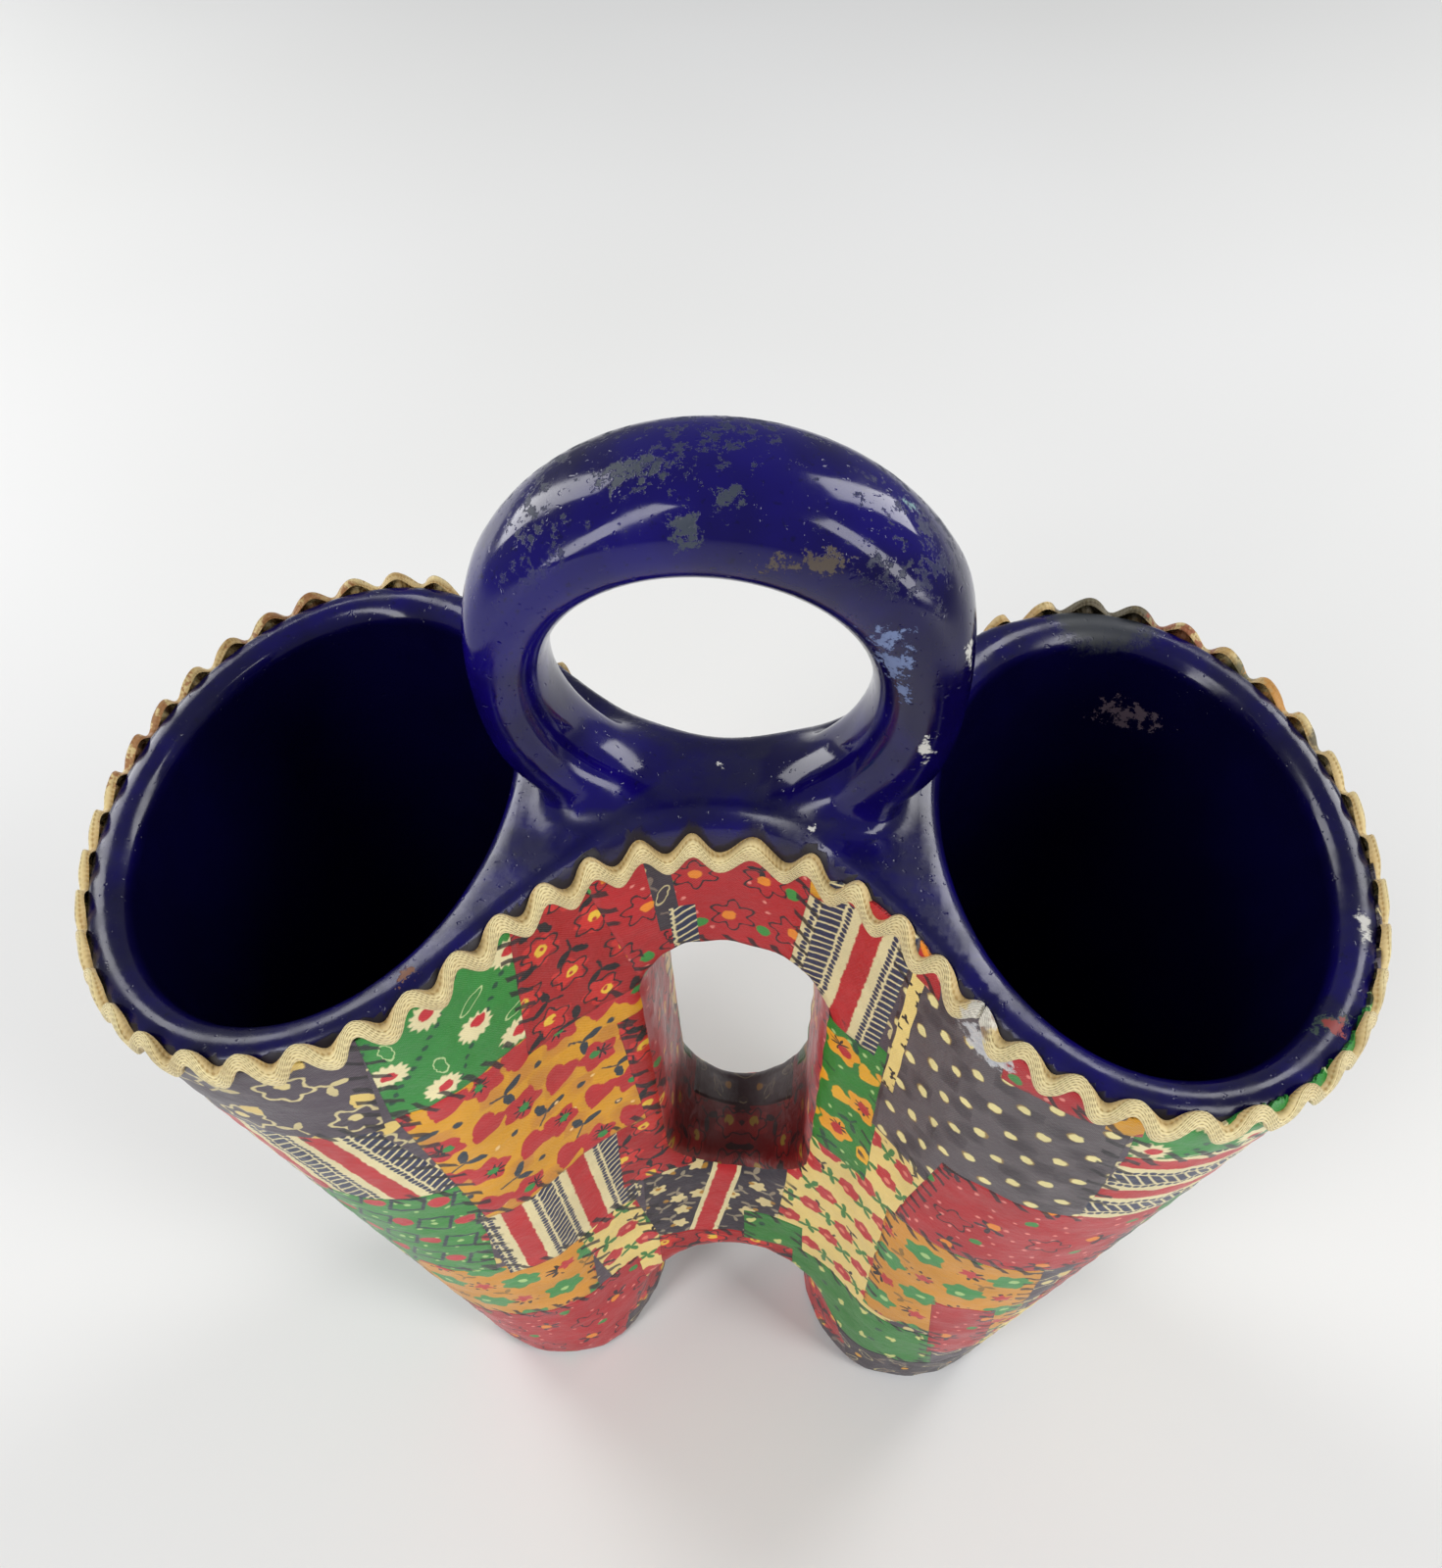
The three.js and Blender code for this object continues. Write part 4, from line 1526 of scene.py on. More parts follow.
@dataclass(frozen=True)
class CobaltGlaze:
    """A deep cobalt glaze, cloudy and specked near black, with painted shade inside the mouths, worn dull at
    the lip.
    """

    bright: Colour = linear(17, 7, 96)
    deep: Colour = linear(9, 4, 54)
    # The near black of the specks, also used as painted shade inside the mouths.
    speck_and_mouth_shade: Colour = linear(5, 4, 32)
    worn: Colour = linear(20, 20, 52)
    dust: Colour = linear(26, 26, 44)
    roughness: float = 0.11

    def build(self) -> bpy.types.Material:
        """Makes the material.

        Returns:
            The finished material.
        """
        board = NodeBoard("cobalt_glaze")
        place = board.place()
        cloud = place.noise(38.0, 3.0, 0.6)
        colour = cloud.fade(0.36, 0.66).mix(self.deep, self.bright)
        speck = place.noise(900.0, 2.0, 0.6).fade(0.6, 0.74)
        colour = (speck * 0.45).mix(colour, self.speck_and_mouth_shade)
        # Inside the mouths the glaze is darkened toward near black: painted shade.
        inner = board.value("inner")
        colour = (inner * 0.9).mix(colour, self.speck_and_mouth_shade)
        lip = board.value("lip")
        patchy = place.noise(120.0, 4.0, 0.65).fade(0.3, 0.62)
        wear = lip * (patchy * 0.4 + 0.15)
        colour = wear.mix(colour, self.worn)
        grime = place.noise(60.0, 4.0, 0.7).fade(0.42, 0.7)
        grime = grime * board.value("shoulder")
        colour = (grime * 0.4).mix(colour, self.dust)
        colour, flecks = self._flecked(place, colour)
        glue = self._glue(place)
        colour = (glue * 0.92).mix(colour, BROWN)
        spoiled = (wear * 0.7).most(glue, grime * 0.25, flecks)
        rough_noise = place.noise(620.0, 4.0, 0.75)
        for mark in GLAZE_MARKS:
            cover = mark.cover(place, rough_noise)
            colour = cover.mix(colour, mark.colour)
            spoiled = spoiled.most(cover)
        board.set(Base_Color=colour, IOR=1.42)
        fine = place.noise(130.0, 3.0, 0.6)
        fine = fine.fade(0.3, 0.8, self.roughness - 0.05, self.roughness + 0.12)
        board.set(Roughness=spoiled * 0.4 + fine)
        ripple = place.noise(85.0, 2.0, 0.4)
        pits = place.noise(1100.0, 1.0).fade(0.66, 0.78, 0.0, 0.25)
        height = ripple - pits
        board.bump(spoiled * -0.3 + height, 0.00035, 0.5)
        return board.material

    def _flecked(self, place: Wire, colour: Wire) -> tuple[Wire, Wire]:
        """Adds the dull grey-green flecks on the ring's top.

        Args:
            place: The place on the object.
            colour: The colour so far.

        Returns:
            The new colour, and where the flecks lie.
        """
        region = place.noise(62.0, 2.0, 0.5).fade(0.38, 0.62, -0.05, 0.07)
        fine = place.noise(520.0, 5.0, 0.74) + region
        flecks = fine.fade(0.58, 0.63) * place.board.value("top")
        tone = place.noise(700.0, 1.0).mix(linear(20, 26, 42), linear(60, 70, 74))
        return (flecks * 0.6).mix(colour, tone), flecks

    def _glue(self, place: Wire) -> Wire:
        """Where dark old glue lies along the braid's upper side.

        Args:
            place: The place on the object.

        Returns:
            Its cover, from 0 to 1.
        """
        ragged = place.noise(420.0, 4.0, 0.7) * 2.4 - 1.2
        beside = (place.board.value("glue") + ragged).fade(2.6, 0.9)
        between = (place.board.value("crests") + ragged).fade(0.7, -1.1)
        thin = place.noise(110.0, 3.0, 0.6).fade(0.3, 0.5, 0.55, 1.0)
        between = between * 0.6
        return beside.most(between) * thin


@dataclass(frozen=True)
class RickrackFinish:
    """Cream rickrack: plaited threads along the wave, with painted shade in the grooves between them, and
    toasted edges.
    """

    thread: Colour = linear(240, 222, 164)
    # The darker tan of the grooves is painted shade.
    groove_shade: Colour = linear(184, 156, 96)
    edge: Colour = linear(178, 138, 72)
    roughness: float = 0.6

    def build(self) -> bpy.types.Material:
        """Makes the material.

        Returns:
            The finished material.
        """
        board = NodeBoard("cream_rickrack")
        along, across, _ = board.across("braid").parts()
        along = along * 1000.0
        across = across * 1000.0
        side = abs(across)
        plait = across * 6.6 + along * 0.15
        thread = abs(plait.math("SINE"))
        slant = along * 7.5 + side * 6.0
        twist = slant.math("SINE") * 0.5 + 0.5
        relief = twist * 0.35 + thread * 0.65
        # The grooves between the threads take a darker tan: painted shade.
        colour = relief.fade(0.08, 0.55).mix(self.groove_shade, self.thread)
        dirt = board.place().noise(150.0, 3.0, 0.6).fade(0.4, 0.8)
        colour = (dirt * 0.4).mix(colour, self.edge)
        rim = side.fade(1.35, 1.95) * 0.6
        _, depth, _ = board.place().parts()
        toasted = depth.fade(-0.01, 0.03) * dirt.fade(0.0, 0.5, 0.3, 0.8)
        colour = rim.most(toasted).mix(colour, self.edge)
        ragged = board.place().noise(420.0, 3.0, 0.7)
        for stain in BRAID_STAINS:
            colour = stain.cover(board.place(), ragged).mix(colour, stain.colour)
        ends = ragged * 1.3 + board.value("ends")
        colour = ends.fade(1.1, 1.3, 0.0, 0.9).mix(colour, linear(224, 220, 208))
        burnt = board.place().noise(330.0, 2.0).fade(0.6, 0.7)
        burnt = burnt * board.value("ends")
        colour = burnt.mix(colour, linear(130, 84, 52))
        board.set(Base_Color=colour, Roughness=self.roughness, Sheen_Weight=0.15, Coat_Weight=0.12)
        board.set(Coat_Roughness=0.35)
        board.bump(relief, 0.00025, 0.9)
        return board.material


# Blender meshes.


def mesh_object(
    name: str, skin: Skin, material: Sequence[bpy.types.Material], smooth: bool = True
) -> bpy.types.Object:
    """Makes a Blender object from a skin.

    Args:
        name: The piece's name.
        skin: Its points in millimetres, normals and faces.
        material: Its finishes.
        smooth: Whether it takes the skin's own normals.

    Returns:
        The new object, in metres.
    """
    mesh = bpy.data.meshes.new(name)
    mesh.from_pydata((skin.points * MILLIMETRE).tolist(), [], skin.faces.tolist())
    for finish in material:
        mesh.materials.append(finish)
    for key, column in skin.values.items():
        layer = mesh.attributes.new(key, "FLOAT", "POINT")
        layer.data.foreach_set("value", column.astype(np.float32))
    mesh.polygons.foreach_set("use_smooth", np.ones(len(mesh.polygons), bool))
    if smooth:
        mesh.normals_split_custom_set_from_vertices(skin.normals.tolist())
    piece = bpy.data.objects.new(name, mesh)
    bpy.context.scene.collection.objects.link(piece)
    log.info("%s: %d points, %d faces", name, len(skin.points), len(skin.faces))
    return piece


def corner_map(mesh: bpy.types.Mesh, name: str, pairs: Array) -> None:
    """Gives a mesh a flat map, with one pair for each corner of each triangle."""
    layer = mesh.uv_layers.new(name=name)
    layer.uv.foreach_set("vector", pairs.astype(np.float32).ravel())


# The sub-assemblies.


@dataclass
class GlazedBody:
    """The fired body: two vessels, the bridge between them and the ring on top.

    Attributes:
        form: The smooth form.
        maker: Draws its skin.
        route: The trim's way round it, for the glue line.
        ring_half_length: How far from the middle the ring's own piece reaches.
        ring_half_width: How far front and back it reaches.
        ring_sunk: How far below the body's edge it begins.
        ring_reach: How far round the ring's form it reaches, over the fillet.
        wall_reach: How far from a vessel's own wall its piece reaches.
        lip_wear: How far down from the edge the wear reaches, in millimetres.
        shoulder: How far from the edge the dust lies.
        top_z: The height on the ring where the flecks begin.
        top_run: How much higher they are thickest.
        far: The distance from the braid that counts as far from it.
    """

    form: BodyForm
    maker: SkinMaker
    route: TrimRoute
    braid: Rickrack
    ring_half_length: float = 36.0
    ring_half_width: float = 14.0
    ring_sunk: float = 0.2
    ring_reach: float = 1.5
    wall_reach: float = 0.4
    lip_wear: float = 3.0
    shoulder: float = 7.0
    top_z: float = 198.0
    top_run: float = 12.0
    far: float = 9.0

    def skin(self) -> Skin:
        """The whole closed skin, with the values that the glaze reads.

        Returns:
            The skin.
        """
        skin = self.maker.make(self.form.distance)
        x, y, z = skin.points.T
        vessel = self.form.vessel
        edge = self.form.crest(x) - z
        # inner marks the inside of the mouths, below the lip, where the glaze takes painted shade.
        inner = ramp(-vessel.oval(np.abs(x), y, z, vessel.wall / 2), 0.0, self.ring_reach)
        inner *= ramp(edge, 0.75, 2.5) * (z > vessel.floor / 2)
        on_ring = (edge < -self.ring_reach) & (np.abs(x) < self.ring_half_length)
        near = (np.abs(edge - self.braid.drop) < self.far) & (inner < 0.05) & ~on_ring
        near &= self.form.outside(x, y, z) > -self.ring_reach
        runs = self.route.nearest(skin.points[near])
        level = edge - self.route.drop(x, y)
        glue = np.full(len(x), self.far)
        glue[near] = np.abs(self.braid.upper_edge(runs) - level[near])
        skin.values = {
            "inner": inner,
            "lip": ramp(edge, self.lip_wear, -self.lip_wear) * ~on_ring,
            "top": ramp(z, self.top_z, self.top_run) * ramp(skin.normals[:, 2], 0, 0.625),
            "glue": glue,
            "crests": np.where(near, self.braid.highest() - level, self.far),
            "shoulder": ramp(np.abs(edge), self.shoulder, -self.shoulder) * (inner < 0.5) * ~on_ring,
        }
        return skin

    def pieces(self, skin: Skin, finish: bpy.types.Material) -> list[bpy.types.Object]:
        """Splits the skin into the five named pieces and dresses them.

        Args:
            skin: The whole skin.
            finish: The glaze.

        Returns:
            The five objects.
        """
        vessel = self.form.vessel
        x, y, z = skin.centres().T
        wall = vessel.oval(np.abs(x), y, z, 0.0)
        ring = (z > self.form.crest(x) - self.ring_sunk) & (np.abs(x) < self.ring_half_length)
        ring &= np.abs(y) < self.ring_half_width
        ring &= self.form.ring.distance(x, y, z) < self.ring_reach
        in_vessel = ~ring & (wall < self.wall_reach)
        in_vessel |= ~ring & (np.abs(x) > self.form.bridge.saddle_half)
        web = ~ring & ~in_vessel
        upper = z > self.form.bridge.split_z
        parts = {
            "ring_handle": ring,
            "left_vessel": in_vessel & (x < 0),
            "right_vessel": in_vessel & (x >= 0),
            "upper_bridge": web & upper,
            "lower_bridge": web & ~upper,
        }
        made = []
        for node, chosen in parts.items():
            piece = mesh_object("glazed_" + node, skin.kept(chosen), [finish])
            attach(piece, "root")
            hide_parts(node)
            made.append(piece)
        return made


PRINT_STEP = 17.3


@dataclass(frozen=True)
class Patch:
    """One cut of cloth, in millimetres round the body and above the table.

    Attributes:
        kind: The print.
        left: Its left side, half way up.
        right: Its right side, half way up.
        low: Its lower side.
        high: Its upper side.
        lean: How far its sides lean to the right for each millimetre up.
        turn: The print's turn in degrees.
        anchor: Where the print starts, or None for a start of the patch's own.
    """

    kind: Print
    left: float
    right: float
    low: float
    high: float
    lean: float = 0.0
    turn: float = 0.0
    anchor: Optional[tuple[float, float]] = None

    def origin(self, number: int) -> tuple[float, float, float]:
        """Where the print starts, and how far the print is moved.

        Args:
            number: The patch's place in its sheet.

        Returns:
            Its breadth and height there, and the move.
        """
        if self.anchor is None:
            return self.left, self.low, number * PRINT_STEP
        return self.anchor[0], self.anchor[1], 0.0

    def side_at(self, side: float, z: Array) -> Array:
        """Where a leaning side stands at some heights."""
        return side + self.lean * (z - (self.low + self.high) / 2)

    def holds(self, s: Array, z: Array) -> Array:
        """Which places lie in the patch."""
        inside = (z > self.low) & (z < self.high)
        return inside & (s > self.side_at(self.left, z)) & (s < self.side_at(self.right, z))


@dataclass
class ClothSheet:
    """One layer of patchwork, pasted on a part of the body's skin.

    Attributes:
        name: The CAD node that it stands for.
        skin: The part of the body's skin under it, cut to its outline.
        patches: Its cuts of cloth, later ones on top.
        size: The cloth's flat width and length, in metres. Not used.
        area: Its flat area in square metres. Not used.
        rests_on: What it is pasted on. Not used.
        lift: How far the cloth stands off the body.
        crease: How high its ripples are.
        tuck: How deep its edges are turned into the body.
        overlap: How far past a patch's corner its border is cut.
        reach: How far from a border the cut looks for triangles.
        unsewn: Cuts narrower than this have no stitches at their sides.
    """

    name: str
    skin: Skin
    patches: Sequence[Patch]
    size: tuple[float, float]
    area: float
    rests_on: tuple[str, ...]
    lift: float = 0.5
    crease: float = 0.12
    tuck: float = 0.15
    overlap: float = 1.5
    reach: float = 2.5
    unsewn: float = 6.0

    def cut_patches(self) -> Skin:
        """Cuts the skin along all the patch borders.

        Returns:
            The skin, with no triangle across a border.
        """
        skin = self.skin
        for patch in self.patches:
            for side in (patch.left, patch.right):
                s, z = skin.values["s"], skin.values["z"]
                beside = s - patch.side_at(side, z)
                near = (z > patch.low - self.overlap) & (z < patch.high + self.overlap)
                skin = skin.cut(beside, near & (np.abs(beside) < self.reach))
            for height in (patch.low, patch.high):
                s, z = skin.values["s"], skin.values["z"]
                near = s > patch.side_at(patch.left, z) - self.overlap
                near &= s < patch.side_at(patch.right, z) + self.overlap
                skin = skin.cut(z - height, near & (np.abs(z - height) < self.reach))
        return skin

    def build(self, finishes: dict[Print, bpy.types.Material]) -> bpy.types.Object:
        """Args:
            finishes: The printed cottons.

        Returns:
            The sheet's object.
        """
        skin = self.cut_patches()
        centre_s = skin.values["s"][skin.faces].mean(axis=1)
        centre_z = skin.values["z"][skin.faces].mean(axis=1)
        owner = np.zeros(len(skin.faces), int)
        for number, patch in enumerate(self.patches):
            owner[patch.holds(centre_s, centre_z)] = number
        skirt, parent = self._with_skirt(skin)
        owner = owner[parent]
        kinds = list(dict.fromkeys(patch.kind for patch in self.patches))
        piece = mesh_object(self.name + "_cloth", skirt, [finishes[kind] for kind in kinds])
        slots = np.array([kinds.index(patch.kind) for patch in self.patches])
        piece.data.polygons.foreach_set("material_index", slots[owner])
        self._maps(piece.data, skirt, owner)
        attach(piece, "root")
        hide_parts(self.name)
        area = sum(face.area for face in piece.data.polygons)
        log.info("%s: cloth area %.5f m2", self.name, area)
        return piece

    def _with_skirt(self, skin: Skin) -> tuple[Skin, Array]:
        """Lifts the skin off the body and turns its edges down onto it.

        Args:
            skin: The skin under the cloth.

        Returns:
            The cloth's skin, and the first skin's face behind each of its faces.
        """
        x, y, z = skin.points.T
        ripple = np.sin(0.9 * x + 0.7 * y) * np.sin(0.8 * z + 0.5 * y + 1.3)
        points = skin.points + skin.normals * (self.lift + self.crease * ripple)[:, None]
        edges, mother = skin.border()
        used, place = np.unique(edges, return_inverse=True)
        place = place.reshape(-1, 2) + len(points)
        foot = skin.points[used] - skin.normals[used] * self.tuck
        a, b = edges.T
        c, d = place.T
        faces = np.concatenate([skin.faces, columns(b, a, c), columns(b, c, d)])
        parent = np.concatenate([np.arange(len(skin.faces)), mother, mother])
        values = {name: np.concatenate([column, column[used]]) for name, column in skin.values.items()}
        normals = np.concatenate([skin.normals, skin.normals[used]])
        return Skin(np.concatenate([points, foot]), normals, faces, values), parent

    def _maps(self, mesh: bpy.types.Mesh, skin: Skin, owner: Array) -> None:
        """Gives each patch its own print, border and seam coordinates.

        Args:
            mesh: The cloth's mesh.
            skin: Its skin.
            owner: The patch that each face belongs to.
        """
        s = skin.values["s"][skin.faces]
        z = skin.values["z"][skin.faces]
        table = np.array([(p.left, p.right, p.low, p.high, p.lean, p.turn) for p in self.patches])
        left, right, low, high, lean, turn = table[owner].T
        turn = np.radians(turn)
        middle = (low + high) / 2
        shift = lean[:, None] * (z - middle[:, None])
        side = np.minimum(s - left[:, None] - shift, right[:, None] + shift - s)
        level = np.minimum(z - low[:, None], high[:, None] - z)
        side = side + np.where(right - left < self.unsewn, 10.0, 0.0)[:, None]
        border = np.stack([np.maximum(side, 0), np.maximum(level, 0)], axis=2)
        starts = np.array([patch.origin(number) for number, patch in enumerate(self.patches)])
        across, up, offset = (column[:, None] for column in starts[owner].T)
        u = (s - across) * np.cos(turn)[:, None] - (z - up) * np.sin(turn)[:, None]
        v = (s - across) * np.sin(turn)[:, None] + (z - up) * np.cos(turn)[:, None]
        own = np.stack([u + offset, v + offset * 0.7], axis=2)
        corner_map(mesh, "cloth", own * MILLIMETRE)
        corner_map(mesh, "border", border * MILLIMETRE)
        corner_map(mesh, "seam", np.stack([s, z], axis=2) * MILLIMETRE)


FRONT_PATCHES = (
    Patch(Print.CHARCOAL_FLORAL, -140, 140, -5, 175),
    Patch(Print.STRIPES, -96, -52.5, 103, 132, -0.36, -19.8, (-65, 128)),
    Patch(Print.GREEN_SQUARES, -72, -46, 64, 104),
    Patch(Print.MUSTARD_GREEN_FLOWERS, -62, -28, 34, 64),
    Patch(Print.DARK_SPRAYS, -16, 14, 38, 76),
    Patch(Print.CREAM_FLOWERS, -26, -14, 20, 60, -0.2),
    Patch(Print.RED_DOTS, -56, -17, -5, 34, -0.1),
    Patch(Print.STRIPES, -4.7, 0.9, 38, 72, 0.2, 11.3, (-1.9, 55)),
    Patch(Print.RED_POPPIES, -14, 13, 20, 39),
    Patch(Print.CREAM_FLOWERS, 12, 40, 36, 108, 0.1),
    Patch(Print.GREEN_DOTS, 3, 15, 36, 48),
    Patch(Print.GREEN_DOTS, 13, 45, 15, 38),
    Patch(Print.DARK_LEAVES, 20, 52, -5, 15.5),
    Patch(Print.GREEN_ORANGE_FLOWERS, 15, 29, 86, 130, 0.06),
    Patch(Print.MUSTARD_GREEN_FLOWERS, 32, 60, 40, 87, 0.05),
    Patch(Print.RED_DOTS, 44, 55, 25, 60),
    Patch(Print.CHARCOAL_DOTS, 30.5, 66, 107, 175, 0.07),
    Patch(Print.RED_DOTS, 39, 74, 87, 117, 0.26),
    Patch(Print.GREEN_SQUARES, 75, 110, 86, 117, 0.1, 4),
    Patch(Print.RED_POPPIES, 64, 96, 54, 87, 0.2),
    Patch(Print.CREAM_FLOWERS, 57, 90, 24, 54, 0.2),
    Patch(Print.STRIPES, 65, 110, 116, 143, 0.14, 101, (70, 127.4)),
    Patch(Print.RED_OUTLINED_FLOWERS, -110, -74, 76, 104, -0.1),
    Patch(Print.CHARCOAL_DOTS, -96, -65, 42, 76, -0.2),
    Patch(Print.GREEN_DOTS, -90, -57, 12, 42, -0.2),
    Patch(Print.GREEN_DAISIES, 67, 110, 143, 175),
    Patch(Print.STRIPES, -45.5, -18, 60, 90, -0.1, -6, (-41.7, 90)),
    Patch(Print.RED_POPPIES, -20, -6, 66, 107),
    Patch(Print.MUSTARD_HEARTS, -50, -8, 88, 133, -0.2, 4),
    Patch(Print.RED_POPPIES, -16, -5, 88, 121, -0.1),
    Patch(Print.CHARCOAL_FLORAL, -110, -56, 131, 175),
    Patch(Print.GREEN_DAISIES, -56, -32, 133, 175, -0.06, 0, (-53, 131)),
    Patch(Print.RED_POPPIES, -32.5, -11, 128, 175, 0.02),
    Patch(Print.RED_OUTLINED_FLOWERS, -18.5, -9, 128, 175, -0.25),
    Patch(Print.RED_OUTLINED_FLOWERS, -8, 14, 135, 175),
    Patch(Print.DARK_LEAVES, -11, -7.5, 140, 175, -0.1),
    Patch(Print.STRIPES, -7.5, -3.5, 134, 145, -0.05, -3, (-11.6, 140)),
    Patch(Print.STRIPES, 13.4, 31.2, 126, 175, 0.16, 9.6, (23.9, 150)),
    Patch(Print.CREAM_BLOTS, 31.2, 33.4, 121, 160, 0.1),
    Patch(Print.RED_DOTS, 33.2, 37.5, 154, 175),
    Patch(Print.RED_DOTS, 49.5, 62, 150.6, 175),
    Patch(Print.MUSTARD_HEARTS, 63.5, 68, 150.2, 175),
    Patch(Print.MUSTARD_HEARTS, 14, 16.5, 154, 175),
    Patch(Print.MUSTARD_HEARTS, 19.5, 24, 157.5, 175),
)

BACK_PATCHES = (
    Patch(Print.DARK_LEAVES, -140, 140, -5, 175),
    Patch(Print.MUSTARD_GREEN_FLOWERS, -110, -58, 104, 175, 0.1),
    Patch(Print.RED_OUTLINED_FLOWERS, -58, -30, 122, 175),
    Patch(Print.GREEN_SQUARES, -30, -8, 128, 175, 0.05),
    Patch(Print.CREAM_FLOWERS, -8, 14, 132, 175),
    Patch(Print.CHARCOAL_DOTS, 14, 42, 122, 175, 0.1),
    Patch(Print.MUSTARD_HEARTS, 42, 70, 108, 175, 0.15),
    Patch(Print.STRIPES, 70, 110, 112, 175, 0.15, 60),
    Patch(Print.RED_DOTS, -110, -64, 68, 104, -0.1),
    Patch(Print.GREEN_SQUARES, -100, -58, 30, 68, -0.2),
    Patch(Print.RED_POPPIES, 72, 110, 74, 112, 0.2),
    Patch(Print.GREEN_DAISIES, 61, 100, 34, 74, 0.2),
    Patch(Print.GREEN_DAISIES, -66, -38, 78, 122, -0.1),
    Patch(Print.STRIPES, -38, -12, 88, 130, -0.05, -3),
    Patch(Print.RED_POPPIES, 12, 40, 84, 122, 0.1),
    Patch(Print.GREEN_ORANGE_FLOWERS, 40, 76, 68, 110, 0.2),
    Patch(Print.CHARCOAL_FLORAL, -58, -26, 36, 78),
    Patch(Print.MUSTARD_HEARTS, -26, -8, 30, 88),
    Patch(Print.STRIPES, -8, 6, 34, 64, 0.1, 6),
    Patch(Print.CREAM_FLOWERS, 6, 32, 36, 84),
    Patch(Print.STRIPES, 32, 62, 28, 68, 0.05, 86),
    Patch(Print.GREEN_DOTS, -56, -20, -5, 36),
    Patch(Print.RED_DOTS, 14, 36, -5, 36),
    Patch(Print.CHARCOAL_DOTS, 36, 64, -5, 30),
)

WINDOW_PATCHES = (
    Patch(Print.RED_POPPIES, -60, 60, 30, 170),
    Patch(Print.CREAM_FLOWERS, 4, 60, 88, 170),
    Patch(Print.DARK_LEAVES, 2, 60, 30, 64),
    Patch(Print.RED_DOTS, -60, -3, 100, 170),
    Patch(Print.GREEN_ORANGE_FLOWERS, 8, 60, 66, 88),
)

ARCH_PATCHES = (
    Patch(Print.DARK_LEAVES, -60, 60, -5, 80),
    Patch(Print.RED_POPPIES, -60, -2, 10, 80),
    Patch(Print.GREEN_DOTS, 6, 60, -5, 26),
)


